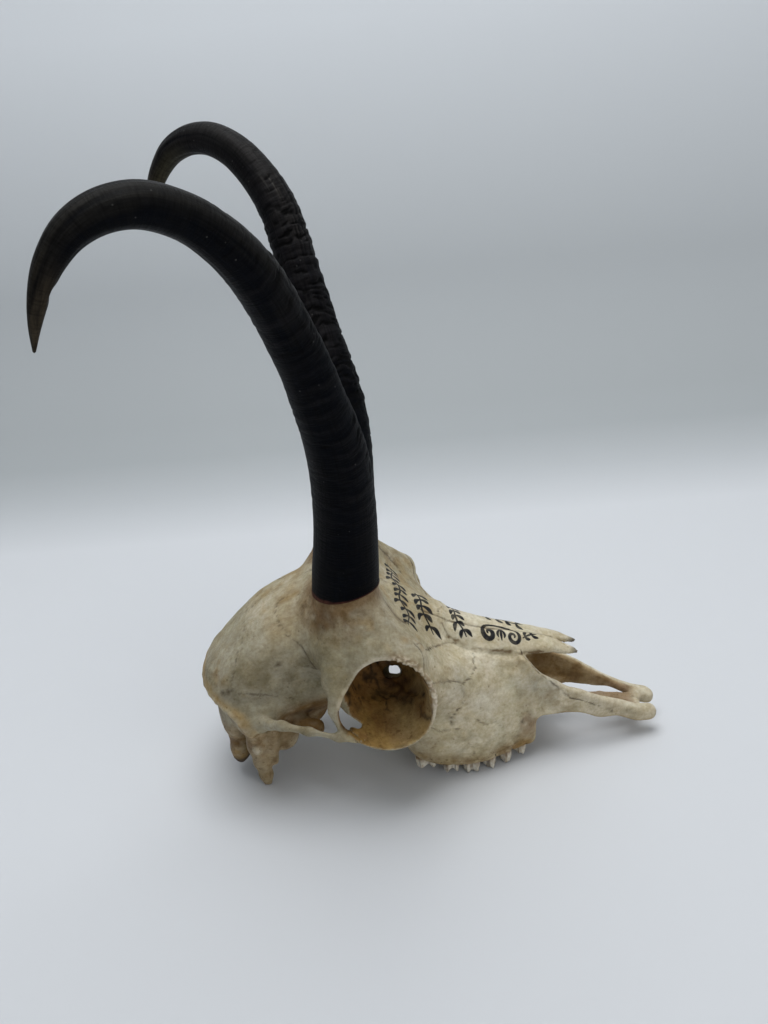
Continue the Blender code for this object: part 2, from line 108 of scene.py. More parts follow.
# Sutures and cracks: (width, depth of colour, how ragged, points x, |y|, z).
SEAMS = [
    (0.45, 0.75, 0.9, [(-27.8, 9.1, 88.8), (-30.1, 9.8, 87.4), (-31.5, 13.1, 85.5),
                       (-29.8, 18.9, 83.4), (-28.5, 21.5, 81.6), (-26.8, 23.5, 80.3),
                       (-24.3, 25, 79.2), (-22.2, 26.7, 77.9)]),
    (0.35, 0.8, 0.3, [(-22.2, 26.7, 77.9), (-20.9, 28.3, 76.8), (-18.4, 31.1, 73.4),
                      (-16.9, 32.1, 69.9), (-15.5, 31.5, 66)]),
    (0.30, 0.75, 0.3, [(27, 39.6, 80.5), (29.5, 35.5, 76), (32.6, 31, 72.1), (35, 25, 68.6),
                       (37.5, 19, 65.4), (42.6, 13.4, 62.3), (45.9, 11.9, 60.6)]),
    (0.28, 0.7, 0.2, [(27, 39.6, 80.4), (28, 40.4, 76.7), (29.9, 43, 72.3), (30.9, 44.3, 70.9)]),
    (0.35, 0.6, 0.7, [(33, 46, 64), (37.8, 35.6, 57.3), (41.9, 31.2, 54.6), (46.7, 28.7, 51.1),
                      (50.3, 25.2, 51.2), (53.4, 20.5, 53.4), (54, 14, 57)]),
    (0.38, 0.75, 0.8, [(46.7, 28.7, 51.1), (46, 30.2, 48.9), (46.8, 30.2, 45.3), (46.1, 30.5, 40.4),
                       (42.9, 31.7, 38.2), (40.9, 32.2, 35.8), (40.7, 32.3, 32.4)]),
    (0.28, 0.55, 0.3, [(27.2, 40, 36), (35.7, 33.9, 29.9), (44.5, 31.9, 29.2)]),
    (0.38, 0.75, 0.5, [(75.5, 11.5, 53.5), (78.2, 13.5, 50.9), (82.2, 15.8, 45.8), (86.2, 16.4, 40.3),
                      (91.4, 16, 34.7), (95.5, 15.3, 30.8), (102.5, 14.2, 26.8),
                      (109.5, 13.2, 21.6), (116.7, 12.1, 16.3)]),
    (0.30, 0.5, 0.35, [(-20, 0, 96), (0, 0, 97), (12, 0, 91), (24, 0, 82)]),
    (0.55, 0.8, 0.5, [(8.2, 13.5, 66), (7.2, 15.5, 60), (8.2, 16.5, 54), (10.5, 19.5, 47.5)]),
    (0.45, 0.75, 0.7, [(9, 21, 46), (13, 25, 43), (12.5, 29, 40.5), (15, 31, 40)]),
    (0.4, 0.7, 0.8, [(-1, 24, 60), (-2.5, 25, 55), (-2, 27, 50), (1, 28, 46)]),
    (0.4, 0.7, 0.6, [(16, 24, 43.5), (22, 28, 45), (26.5, 31, 50)]),
    (0.28, 0.55, 0.4, [(40.5, 1.5, 73.2), (38.6, 4.4, 73.6), (38.8, 7.4, 71.4), (41.2, 10.0, 67.4),
                       (43.8, 11.6, 64)]),
    (0.45, 0.7, 0.2, [(15.7, 23.3, 93.8), (19.1, 25.5, 88.6), (20.8, 24.7, 86.2),
                       (23.6, 24.8, 83), (25.6, 21.8, 80.7)]),
    (0.30, 0.45, 0.8, [(-46, 0, 79), (-47, 6, 78), (-45, 13, 76.5), (-48, 19, 72), (-50, 25, 64),
                       (-52, 29, 56)]),
    (0.30, 0.4, 0.8, [(-30, 0, 90.6), (-40, 0, 84.5), (-48, 0, 77.5)]),
    (0.30, 0.5, 0.5, [(-50, 32.5, 58), (-42, 33.5, 57.5), (-34, 33, 55), (-27, 30, 52)]),
    (0.26, 0.5, 0.3, [(52, 29.3, 31), (56, 28.6, 27.5), (61, 26.5, 27), (64, 25.5, 23)]),
    (0.24, 0.5, 0.3, [(47, 30.3, 21), (50, 29.6, 17), (49.3, 29.4, 12)]),
]
# Edge of the nasal bones over the cheek, dark and ragged.
NASAL_EDGE = [
    (43.8, 11.8, 64), (49.5, 12.6, 60), (56.6, 12.7, 57), (65.2, 12.3, 54.8),
    (73.5, 11.4, 53), (79.2, 10.6, 51.3), (84.6, 9.6, 50.6),
]
# Line between the nasal bones; it runs a little to the right.
MIDLINE = [
    (30, -7.5, 78), (35.5, -7.6, 75), (42, -6.8, 70), (48, -5.6, 68), (54, -5.2, 65),
    (61, -4.6, 62.4), (68, -3.4, 60.7), (76, -2.4, 58.6), (85, -1.2, 55.3), (92, 0, 53),
]
# Small holes and dark notches in the braincase: x, |y|, z, radius.
PITS = [
    (-30.6, 10.6, 86.9, 0.7), (-29.2, 12.5, 86.9, 0.6), (-49.3, 3.2, 75, 1.0),
    (-51.1, 3.4, 73, 0.7), (-31.2, 29.5, 69, 0.7), (-32, 30.5, 65.9, 0.6),
    (-18.7, 30.7, 67.6, 0.6), (-17.2, 31.2, 66.6, 0.8), (-57.2, 28.3, 56, 1.2),
    (-54.8, 29.3, 57.2, 1.0), (-42.9, 27.7, 69, 0.6), (-39.5, 32.7, 59.2, 0.6),
    (-35.8, 31.8, 61.8, 0.6), (-50, 31.2, 55.8, 0.7), (-36, 30.5, 66, 0.5),
    (74.4, 21.9, 22, 1.5), (71.5, 22.5, 15, 0.8), (77.5, 20, 17.5, 0.7),
]


def smooth(a, b, k):
    """Union of two fields with a fillet about k wide."""
    h = np.clip(0.5 + 0.5 * (b - a) / k, 0, 1)
    return b * (1 - h) + a * h - k * h * (1 - h)


def cut(a, b, k):
    """Field a without field b."""
    return -smooth(-a, b, k)


def smooth_max(a, b, k):
    """Overlap of two fields with a rounded edge."""
    return -smooth(-a, -b, k)


def curve(rows, x, column):
    """Smooth curve through one column of rows whose first column is x."""
    xs = np.array([row[0] for row in rows], float)
    vs = np.array([row[column] for row in rows], float)
    slopes = np.gradient(vs, xs)
    x = np.clip(x, xs[0], xs[-1])
    i = np.clip(np.searchsorted(xs, x) - 1, 0, len(xs) - 2)
    step = xs[i + 1] - xs[i]
    t = (x - xs[i]) / step
    return (
        vs[i] * (1 + 2 * t) * (1 - t) ** 2 + slopes[i] * step * t * (1 - t) ** 2
        + vs[i + 1] * t * t * (3 - 2 * t) + slopes[i + 1] * step * t * t * (t - 1)
    )


def ellipsoid(p, centre, radii, turn=0.0):
    """Turn is about the y axis, in degrees, nose up."""
    x, y, z = p[0] - centre[0], p[1] - centre[1], p[2] - centre[2]
    c, s = math.cos(math.radians(turn)), math.sin(math.radians(turn))
    x, z = c * x + s * z, c * z - s * x
    near = np.sqrt((x / radii[0]) ** 2 + (y / radii[1]) ** 2 + (z / radii[2]) ** 2)
    far = np.sqrt((x / radii[0] ** 2) ** 2 + (y / radii[1] ** 2) ** 2 + (z / radii[2] ** 2) ** 2)
    return near * (near - 1) / np.maximum(far, 1e-6)


def cone(p, a, b, ra, rb, squash=(1, 1, 1)):
    """Rounded cone from a to b; squash stretches the measure along x, y and z."""
    a, b, s = np.array(a, float), np.array(b, float), np.array(squash, float)
    line = (b - a) * s
    q = [(p[i] - a[i]) * s[i] for i in range(3)]
    t = np.clip(sum(q[i] * line[i] for i in range(3)) / line.dot(line), 0, 1)
    away = np.sqrt(sum((q[i] - t * line[i]) ** 2 for i in range(3)))
    return (away - (ra + (rb - ra) * t)) / s.max()


def chain(p, points, k, squash=(1, 1, 1)):
    """Cones through points (x, y, z, radius)."""
    field = None
    for a, b in zip(points, points[1:]):
        piece = cone(p, a[:3], b[:3], a[3], b[3], squash)
        field = piece if field is None else smooth(field, piece, k)
    return field


def cranium(p):
    x, y, z = p
    top, wide = curve(CRANIUM, x, 1), curve(CRANIUM, x, 2)
    low, half = curve(CRANIUM, x, 3), curve(CRANIUM, x, 4)
    tall = np.where(z > wide, top - wide, wide - low)
    ratio = ((y / half) ** 2.3 + (np.abs(z - wide) / tall) ** 2.3) ** (1 / 2.3)
    field = (ratio - 1) * np.minimum(half, tall)
    past = np.maximum(CRANIUM[0][0] - x, 0) + np.maximum(x - CRANIUM[-1][0], 0)
    return np.where(past > 0, np.sqrt(np.maximum(field, 0) ** 2 + past ** 2), field)


def forehead(p):
    """Slab between the pedicles, the brows and the root of the nose."""
    x, y, z = p
    middle, side, half = curve(BROW, x, 1), curve(BROW, x, 2), curve(BROW, x, 3)
    top = middle - (middle - side) * (np.minimum(y, half + 4) / half) ** 2
    field = smooth_max(z - top, np.maximum(y - half, top - 15 - z), 5)
    return smooth_max(field, np.maximum(x - BROW[-1][0], BROW[0][0] - x), 4)


def nasal_top(x, y):
    half = curve(NASAL, x, 2)
    groove = np.interp(x, [36, 52, 70, 96, 101.8], [0.0, 0.4, 1.1, 1.4, 0.4])
    top = curve(NASAL, x, 1) + 0.25 * groove - groove * np.exp(-(y / 2.4) ** 2)
    return top - curve(NASAL, x, 3) * (y / half) ** 2


def face(p):
    x, y, z = p
    low = curve(FACE, x, 4)
    top = nasal_top(x, np.minimum(y, 12.0)) - np.interp(x, [36, 50], [1.0, 2.2])
    t = np.clip((z - low) / np.maximum(nasal_top(x, 12.0) - low, 1), 0, 1)
    at_teeth, middle, at_nasals = (curve(FACE, x, i) for i in (1, 2, 3))
    side = at_teeth * (1 - t) * (1 - 2 * t) + middle * 4 * t * (1 - t) + at_nasals * t * (2 * t - 1)
    field = smooth_max(smooth_max(y - side, z - top, 2.5), low - z, 1.5)
    end = FACE[-1][0] - 0.45 * np.maximum(z - 42, 0)
    return smooth_max(field, np.maximum(x - end, FACE[0][0] - x), 3)


def nasals(p):
    x, y, z = p
    half = curve(NASAL, x, 2)
    top = nasal_top(x, np.minimum(y, half))
    thick = np.interp(x, [33, 70, 94, 102.6], [7, 3.4, 2.6, 1.3])
    field = smooth_max(np.maximum(z - top, top - thick - z), y - half, 1.3)
    slit = np.interp(x, [91, 97, 102.6], [0, 0.8, 3.0]) - y
    field = np.where(x > 90, np.maximum(field, slit), field)
    return smooth_max(field, np.maximum(x - 102.6, 33 - x), 1.0)


def plates(p):
    x, y, z = p
    top, low = curve(PLATE, x, 1), curve(PLATE, x, 2)
    middle, half = curve(PLATE, x, 3), curve(PLATE, x, 4)
    middle = middle + np.interp(x, [74, 95], [1.8, 0.0]) * (0.5 * (top + low) - z) / (top - low) * 2
    r = half * 0.9
    a = np.abs(y - middle) - half + r
    b = np.abs(z - 0.5 * (top + low)) - 0.5 * (top - low) + r
    field = np.sqrt(np.maximum(a, 0) ** 2 + np.maximum(b, 0) ** 2) + np.minimum(np.maximum(a, b), 0) - r
    field = smooth_max(field, z - nasal_top(x, np.minimum(y, 11)) + 1.8, 1)
    return smooth_max(smooth_max(field, x - 139.4, 5), PLATE[0][0] - x, 2)


def tunnel(p, one, other, ra, rb):
    """Slot between two lines, each given by its x and z at y = 46 and at y = 20."""
    x, y, z = p
    t = (46 - y) / 26
    ax, az = one[0] + (one[2] - one[0]) * t, one[1] + (one[3] - one[1]) * t
    dx, dz = other[0] - one[0], other[1] - one[1]
    k = np.clip(((x - ax) * dx + (z - az) * dz) / (dx * dx + dz * dz), 0, 1)
    away = np.hypot(x - ax - k * dx, z - az - k * dz) - (ra + (rb - ra) * k)
    return np.maximum(away * 0.85, np.maximum(17 - y, y - 56))


def gum(x):
    return curve(FACE, x, 4)


def uneven(x, z):
    """How much wider the eye socket's opening is in each direction than a circle."""
    a = np.degrees(np.arctan2(z - ORBIT[1], x - ORBIT[0]))
    return (1.4 * np.exp(-((a - 86) / 34) ** 2) - 2.3 * np.exp(-((a - 148) / 26) ** 2)
            - 0.5 * np.exp(-((a + 90) / 40) ** 2) - 2.6 * np.exp(-((a - 4) / 50) ** 2)
            + 1.3 * np.exp(-((np.abs(a) - 163) / 16) ** 2) * (a < 0))


def skull(p):
    """Field of the whole bone; p holds x, |y| and z in millimetres."""
    x, y, z = p
    ox, oz = ORBIT
    wider = uneven(x, z)
    root, up = horn_root(1), horn_axes(1)[1]
    bone = cranium(p)
    bone = smooth(bone, forehead(p), 8)
    bone = smooth(bone, cone(p, root - 24 * up, root + 3 * up, 18.5, 13.4), 9)
    bone = smooth(bone, cone(p, (5, 29, 86.6), (24.0, 38.2, 73.2), 10.6, 7.6), 8)
    socket = cone(p, (6, 12, 60), (ox, RIM_Y - 20, oz + 1), 22, 23.5)
    socket = smooth(socket, cone(p, (ox, RIM_Y - 22, oz + 1), (ox, RIM_Y - 1, oz), 23.3, 21.7), 2)
    narrow = wider - 1.2 * np.exp(-((np.arctan2(z - oz, x - ox) - 0.6) / 0.5) ** 2)
    socket = socket - narrow * np.clip((y - 14) / 14, 0, 1)
    socket = smooth_max(socket, y - RIM_Y + (z - oz) * 0.12, 2)
    bone = smooth(bone, socket, 5)
    bone = smooth(bone, cone(p, (15, 26, 57), (50, 15, 40), 19.5, 12), 5)
    bone = smooth(bone, face(p), 6)
    bone = smooth(bone, ellipsoid(p, (-47, 29.5, 41), (12, 7, 5.5), 12), 5)

    # Hollows: eye socket, temple, the way through below it, nose cavity, palate and throat.
    inside = cone(p, (ox - 3, 26, oz + 1), (ox, RIM_Y + 12, oz), 14, ORBIT_RADIUS + 4.0)
    inside = inside - wider * np.clip((y - 32) / 12, 0, 1)
    bone = cut(bone, inside, 0.7)
    recess = np.maximum(np.hypot((x - 20.5) / 1.15, z - 55) - 8.6, inside - 1.2)
    bone = cut(bone, np.maximum(recess, 30 - y - 22), 0.5)
    bone = smooth(bone, ellipsoid(p, (-30, 12, 33), (15, 12, 8)), 5)
    bone = smooth(bone, cone(p, (-26, 28, 36.5), (-18.2, 33, 37.5), 4, 3.4), 3)
    fossa = chain(p, [(-31, 45, 62, 11), (-17, 43, 57, 13), (-10, 40, 48, 7)], 5)
    bone = cut(bone, fossa, 4)
    under = tunnel(p, (-12.6, 49.6, -14.6, 31.5), (-10.6, 44.8, -12.6, 27.0), 1.3, 3.0)
    under = np.minimum(under, tunnel(p, (-4.8, 50.6, -6.2, 31.0), (0.4, 46.4, -1.0, 27.0), 2.2, 1.6))
    bone = cut(bone, under, 1.2)
    hollow = np.minimum(curve(PLATE, x, 3) - 2.4, np.interp(x, [62, 78, 92], [7, 9.6, 12]))
    cavity = smooth_max(y - hollow, 24.5 - z, 3)
    cavity = np.maximum(cavity, z - nasal_top(x, y) + 3.0)
    bone = cut(bone, np.maximum(cavity, 62 - x), 1.5)
    vault = ellipsoid(p, (44, 0, 8), (46, 17, 13))
    bone = cut(bone, vault, 3)
    bone = cut(bone, ellipsoid(p, (12, 0, 22), (16, 8, 14)), 3)
    # Back of the skull slopes forward below its crest.
    bone = smooth_max(bone, (x + 69.5 - 0.346 * (51 - z) - 0.0139 * y * y) * -0.9, 1.2)
    # Broken window in the thin wall between the eye sockets.
    window = chain(p, [(15.2, 22, 56.0, 2.7), (15.2, 10, 47.2, 3.0), (15.2, 0, 40.0, 3.4)], 1)
    window = np.minimum(window, chain(p, [(18.0, 22, 56.2, 2.8), (18.0, 10, 47.2, 2.9), (17.9, 0, 40.2, 2.9)], 1))
    window = np.minimum(window, chain(p, [(16.4, 0, 39.8, 4.0), (16.2, 16, 28.2, 5.0), (16.6, 30, 19.0, 4.2)], 1))
    bone = cut(bone, window, 1.0)

    # Thin parts: socket's rim, the bar behind it, cheek arch, nasals and muzzle prongs.
    rim = np.sqrt((np.hypot(x - ox, z - oz) - ORBIT_RADIUS - 0.7 - wider) ** 2
                  + (y - RIM_Y + 0.8 + (z - oz) * 0.12) ** 2) - 0.75
    bone = smooth(bone, rim, 1)
    bar = chain(p, [(-7, 36, 80, 6), (-8.0, 42, 67, 4.2), (-8.3, 46, 55, 2.4), (-5.4, 49, 46, 1.9)],
                3, (1, 1.4, 1))
    bone = smooth(bone, bar, 3)
    arch = chain(p, [(4, 50, 40.2, 1.3), (-8, 50, 44.0, 1.3), (-20, 47.5, 46.6, 1.4),
                     (-32, 42.5, 46.9, 1.7), (-42, 34.5, 43.0, 3.6)], 3, (1, 1.3, 1))
    bone = smooth(bone, arch, 1.8)
    bone = cut(bone, np.maximum(inside + 0.25, 30 - y), 0.5)
    bone = smooth(bone, chain(p, CREST, 1), 3.0)
    bone = smooth(bone, nasals(p), 0.7)
    bone = smooth(bone, plates(p), 4)
    floor = np.maximum(np.maximum(np.abs(z - np.interp(x, [60, 84, 104], [22.5, 21.2, 19.2])) - 1.2,
                                  y - curve(PLATE, x, 3)), np.maximum(x - 88 - 16 * np.minimum(y / 12, 1) ** 2, 60 - x))
    bone = smooth(bone, floor, 2)
    bone = smooth(bone, chain(p, [(92, 0, 19.8, 2.0), (104, 0, 17.9, 1.7), (114, 1.2, 15.6, 2.0), (122, 1.6, 13.6, 2.3), (130, 2, 12.2, 2.4)], 1), 1)
    bone = smooth(bone, cone(p, (129, 0, 12), (130, 7, 11), 2.0, 2.4), 1.5)

    # Underside: keel, wings of the throat, condyles, ear capsules and the long processes.
    bone = smooth(bone, cone(p, (-58, 0, 31), (10, 0, 38), 6, 5, (1, 0.7, 1)), 5)
    bone = smooth(bone, cone(p, (6, 9, 34), (24, 11, 26), 2.2, 2.2), 4)
    bone = smooth(bone, ellipsoid(p, (-56.2, 11, 17.2), (5.2, 6.5, 12.2), -8), 3)
    bone = smooth(bone, ellipsoid(p, (-56, 7, 32), (8, 16, 12)), 4)
    bone = smooth(bone, ellipsoid(p, (-36, 18.5, 26), (8, 6, 10)), 3)
    process = chain(p, [(-46, 25.5, 36, 6), (-46, 24.6, 24, 4.9), (-45.6, 23.9, 14, 4.0),
                        (-45.2, 23.2, 6, 2.7), (-45.0, 23, 1.5, 2.0)], 2, (1, 1.35, 1))
    bone = smooth(bone, process, 2)
    spur = chain(p, [(-38.5, 25, 33, 3.4), (-40.2, 24, 22, 3.2), (-40.2, 23.2, 13.0, 1.6)], 1.5)
    bone = smooth(bone, spur, 1.5)
    bone = smooth(bone, ellipsoid(p, (-46.4, 28.6, 24.5), (1.8, 1.6, 2.8)), 1.2)
    bone = cut(bone, ellipsoid(p, (-68, 0, 27), (12, 7, 8), 20), 2)
    bone = cut(bone, cone(p, (-44, 40, 35.5), (-41, 24, 35.5), 2.6, 2.0), 1.5)

    bone = cut(bone, ellipsoid(p, (76, 22.8, 22.5), (2.4, 3, 4.2), 25), 1.5)

    # Sockets of the teeth.
    for name, x0, x1, middle, tip in TEETH:
        half_x, half_y = (x1 - x0) / 2 + 0.25, TOOTH_WIDTH / 2 + 0.25
        a, b = np.abs(x - (x0 + x1) / 2) - half_x + 1.5, np.abs(y - middle) - half_y + 1.5
        flat = np.sqrt(np.maximum(a, 0) ** 2 + np.maximum(b, 0) ** 2) + np.minimum(np.maximum(a, b), 0) - 1.5
        deep = float(gum((x0 + x1) / 2)) + ROOT
        bone = np.maximum(bone, -np.maximum(flat, z - deep))

    # The pedicle ends level, just below the horn's rim.
    apart = [p[i] - root[i] for i in range(3)]
    along = sum(apart[i] * up[i] for i in range(3))
    across = np.sqrt(np.maximum(sum(a * a for a in apart) - along ** 2, 0))
    seat = z - RIM_HEIGHT + 0.2 - RIM_TILT * x
    bone = np.maximum(bone, np.where(across < 24, seat, -99.0))
    return np.maximum(bone, 0.15 - z)


def horn_axes(side):
    """Backwards and upwards directions of a horn's plane."""
    lean, toe = math.radians(HORN_LEAN), math.radians(HORN_TOE_OUT)
    back = np.array([-math.cos(toe), side * math.sin(toe), 0])
    up = np.array([0, side * math.sin(lean), math.cos(lean)])
    up = up - up.dot(back) * back
    return back, up / np.linalg.norm(up)


def horn_root(side):
    return np.array([0, side * HORN_SPACING / 2, HORN_HEIGHT])


def noise(p, size, seed):
    """Smooth noise from -1 to 1 at points (n, 3), with lumps about size wide."""
    table = np.random.default_rng(seed).random((32, 32, 32)) * 2 - 1
    q = np.asarray(p) / np.asarray(size, float) + 11.3 + 3.7 * (seed % 9)
    i = np.floor(q).astype(int)
    t = q - i
    t = t * t * (3 - 2 * t)
    total = 0
    for n in range(8):
        bit = [(n >> a) & 1 for a in range(3)]
        weight = 1
        for a in range(3):
            weight = weight * (t[:, a] if bit[a] else 1 - t[:, a])
        total = total + weight * table[tuple((i[:, a] + bit[a]) % 32 for a in range(3))]
    return total


def ramp(low, high, value):
    t = np.clip((value - low) / (high - low), 0, 1)
    return t * t * (3 - 2 * t)


def blob(p, centre, radii):
    """1 at the centre, fading to 0 at the radii."""
    q = (p - np.array(centre, float)) / np.array(radii, float)
    return ramp(1.0, 0.25, np.sqrt((q * q).sum(1)))


def line_distance(p, points, width=None):
    """Distance of each point from a polyline, less the line's own half width there."""
    best = np.full(len(p), 1e9)
    points = np.asarray(points, float)
    for n, (a, b) in enumerate(zip(points, points[1:])):
        d = b - a
        lo, hi = np.minimum(a, b) - 4, np.maximum(a, b) + 4
        near = np.nonzero(((p > lo) & (p < hi)).all(1))[0]
        if not len(near):
            continue
        q = p[near] - a
        t = np.clip((q @ d) / max(d.dot(d), 1e-9), 0, 1)
        away = np.linalg.norm(q - t[:, None] * d, axis=1)
        if width is not None:
            away = away - (width[n] * (1 - t) + width[n + 1] * t)
        best[near] = np.minimum(best[near], away)
    return best


def nets(field, corner, step):
    """Quad mesh of a field's zero level."""
    inside = field < 0
    nx, ny, nz = field.shape
    total = np.zeros((nx - 1, ny - 1, nz - 1, 3), np.float32)
    count = np.zeros((nx - 1, ny - 1, nz - 1), np.float32)
    ends = [(a, b) for a in range(8) for b in range(a + 1, 8) if (a ^ b) in (1, 2, 4)]

    def part(grid, k):
        i, j, l = k & 1, (k >> 1) & 1, (k >> 2) & 1
        return grid[i:nx - 1 + i, j:ny - 1 + j, l:nz - 1 + l]

    for a, b in ends:
        crossed = part(inside, a) != part(inside, b)
        fa, fb = part(field, a)[crossed], part(field, b)[crossed]
        t = fa / (fa - fb)
        at = np.array([a & 1, (a >> 1) & 1, (a >> 2) & 1], float)
        to = np.array([b & 1, (b >> 1) & 1, (b >> 2) & 1], float)
        total[crossed] += at + t[:, None] * (to - at)
        count[crossed] += 1
    cells = count > 0
    index = np.full(cells.shape, -1)
    index[cells] = np.arange(cells.sum())
    verts = corner + step * (np.argwhere(cells) + total[cells] / count[cells][:, None])
    quads = []
    for axis in range(3):
        u, v = (axis + 1) % 3, (axis + 2) % 3
        low, high = [slice(1, -1)] * 3, [slice(1, -1)] * 3
        low[axis], high[axis] = slice(0, -1), slice(1, None)
        a, b = inside[tuple(low)], inside[tuple(high)]
        at, out = np.argwhere(a != b), a[a != b]
        shift = np.ones(3, int)
        shift[axis] = 0
        at = at + shift
        ring = []
        for du, dv in ((1, 1), (0, 1), (0, 0), (1, 0)):
            cell = at.copy()
            cell[:, u] -= du
            cell[:, v] -= dv
            ring.append(index[cell[:, 0], cell[:, 1], cell[:, 2]])
        ring = np.stack(ring, 1)
        ring[~out] = ring[~out][:, ::-1]
        quads.append(ring)
    return verts, np.concatenate(quads)


def skull_at(points):
    return skull([points[:, 0], np.abs(points[:, 1]), points[:, 2]])


def slope_at(points, reach=0.25):
    """Direction in which the bone's field grows fastest."""
    out = np.zeros_like(points)
    for axis in range(3):
        step = np.zeros(3)
        step[axis] = reach
        out[:, axis] = (skull_at(points + step) - skull_at(points - step)) / (2 * reach)
    return out


def settle(points, rounds=2, most=0.4):
    """Moves points onto the bone's surface."""
    for _ in range(rounds):
        slope = slope_at(points)
        size = np.maximum((slope * slope).sum(1), 0.05)
        move = -(skull_at(points) / size)[:, None] * slope
        length = np.linalg.norm(move, axis=1)[:, None]
        points = points + move * np.minimum(1, most / np.maximum(length, 1e-9))
    return points


def refine(verts, faces, target, rounds, most):
    """Splits edges longer than target(middle of the edge), keeping the mesh closed."""
    for _ in range(rounds):
        n = len(faces)
        edges = np.sort(np.concatenate([faces[:, [0, 1]], faces[:, [1, 2]], faces[:, [2, 0]]]), 1)
        edges, index = np.unique(edges, axis=0, return_inverse=True)
        a, b = verts[edges[:, 0]], verts[edges[:, 1]]
        long = np.linalg.norm(a - b, axis=1) > 1.35 * target((a + b) / 2)
        side = index.reshape(3, n).T
        split = long[side]
        if n + split.sum() > most or not long.any():
            break
        made = np.full(len(edges), -1)
        made[long] = len(verts) + np.arange(long.sum())
        verts = np.concatenate([verts, ((a + b) / 2)[long]])
        mid, count = made[side], split.sum(1)
        out = [faces[count == 0]]
        for k in range(3):
            order = [k, (k + 1) % 3, (k + 2) % 3]
            one = (count == 1) & split[:, k]
            f, m = faces[one][:, order], mid[one][:, order]
            out += [np.stack([f[:, 0], m[:, 0], f[:, 2]], 1), np.stack([m[:, 0], f[:, 1], f[:, 2]], 1)]
            two = (count == 2) & ~split[:, k]
            f, m = faces[two][:, order], mid[two][:, order]
            out += [np.stack([m[:, 2], m[:, 1], f[:, 2]], 1), np.stack([f[:, 0], f[:, 1], m[:, 1]], 1),
                    np.stack([f[:, 0], m[:, 1], m[:, 2]], 1)]
        f, m = faces[count == 3], mid[count == 3]
        out += [np.stack([f[:, 0], m[:, 0], m[:, 2]], 1), np.stack([f[:, 1], m[:, 1], m[:, 0]], 1),
                np.stack([f[:, 2], m[:, 2], m[:, 1]], 1), m]
        faces = np.concatenate(out)
    return verts, faces


def placed(points):
    return (np.asarray(points, float) + np.array([SHIFT_X, 0, 0])) * MM


def new_object(name, points, faces, material, slot):
    """Mesh object from points in metres."""
    mesh = bpy.data.meshes.new(name)
    points = np.asarray(points, np.float32)
    faces = [np.asarray(f, np.int32) for f in faces]
    sizes = np.concatenate([np.full(len(f), f.shape[1], np.int32) for f in faces])
    mesh.vertices.add(len(points))
    mesh.vertices.foreach_set("co", points.ravel())
    mesh.loops.add(int(sizes.sum()))
    mesh.loops.foreach_set("vertex_index", np.concatenate([f.ravel() for f in faces]))
    mesh.polygons.add(len(sizes))
    mesh.polygons.foreach_set("loop_start", np.concatenate([[0], np.cumsum(sizes)[:-1]]).astype(np.int32))
    mesh.update(calc_edges=True)
    mesh.validate()
    mesh.materials.append(material)
    mesh.shade_smooth()
    obj = bpy.data.objects.new(name, mesh)
    bpy.context.scene.collection.objects.link(obj)
    return obj


def attach(obj, node):
    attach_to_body(obj, "root")
    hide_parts(node)


def set_colour(obj, name, colours):
    layer = obj.data.attributes.new(name, "FLOAT_COLOR", "POINT")
    values = np.ones((len(colours), 4), np.float32)
    values[:, :3] = np.clip(colours, 0, 1)
    layer.data.foreach_set("color", values.ravel())


def set_value(obj, name, values):
    layer = obj.data.attributes.new(name, "FLOAT", "POINT")
    layer.data.foreach_set("value", np.asarray(values, np.float32))


def set_vector(obj, name, values):
    layer = obj.data.attributes.new(name, "FLOAT_VECTOR", "POINT")
    layer.data.foreach_set("vector", np.asarray(values, np.float32).ravel())


def tree(name, roughness):
    """New material; returns it, its node maker, its linker and its shader."""
    material = bpy.data.materials.new(name)
    material.use_nodes = True
    nodes, links = material.node_tree.nodes, material.node_tree.links
    shader = nodes["Principled BSDF"]
    shader.inputs["Roughness"].default_value = roughness

    def node(kind, **values):
        made = nodes.new(kind)
        for key, value in values.items():
            if key in made.inputs:
                made.inputs[key].default_value = value
            else:
                setattr(made, key, value)
        return made

    return material, node, links.new, shader


def math_node(node, link, kind, a, b=None, clamp=False):
    made = node("ShaderNodeMath", operation=kind, use_clamp=clamp)
    for n, value in enumerate((a, b)):
        if value is None:
            continue
        if isinstance(value, (int, float)):
            made.inputs[n].default_value = value
        else:
            link(value, made.inputs[n])
    return made.outputs[0]


def mix_colour(node, link, kind, factor, a, b):
    made = node("ShaderNodeMix", data_type="RGBA", blend_type=kind)
    for socket, value in ((made.inputs[0], factor), (made.inputs[6], a), (made.inputs[7], b)):
        if isinstance(value, (int, float)):
            socket.default_value = value
        elif isinstance(value, tuple):
            socket.default_value = (*value, 1)
        else:
            link(value, socket)
    return made.outputs[2]


def scaled_noise(node, link, vector, scale, detail, roughness=0.55, stretch=None):
    if stretch:
        mapping = node("ShaderNodeMapping")
        mapping.inputs["Scale"].default_value = stretch
        link(vector, mapping.inputs["Vector"])
        vector = mapping.outputs[0]
    made = node("ShaderNodeTexNoise", Scale=scale, Detail=detail, Roughness=roughness)
    link(vector, made.inputs["Vector"])
    return made.outputs["Fac"]


def range_node(node, link, value, from_min, from_max, to_min, to_max):
    made = node("ShaderNodeMapRange")
    link(value, made.inputs[0])
    for n, v in enumerate((from_min, from_max, to_min, to_max)):
        made.inputs[n + 1].default_value = v
    return made.outputs[0]


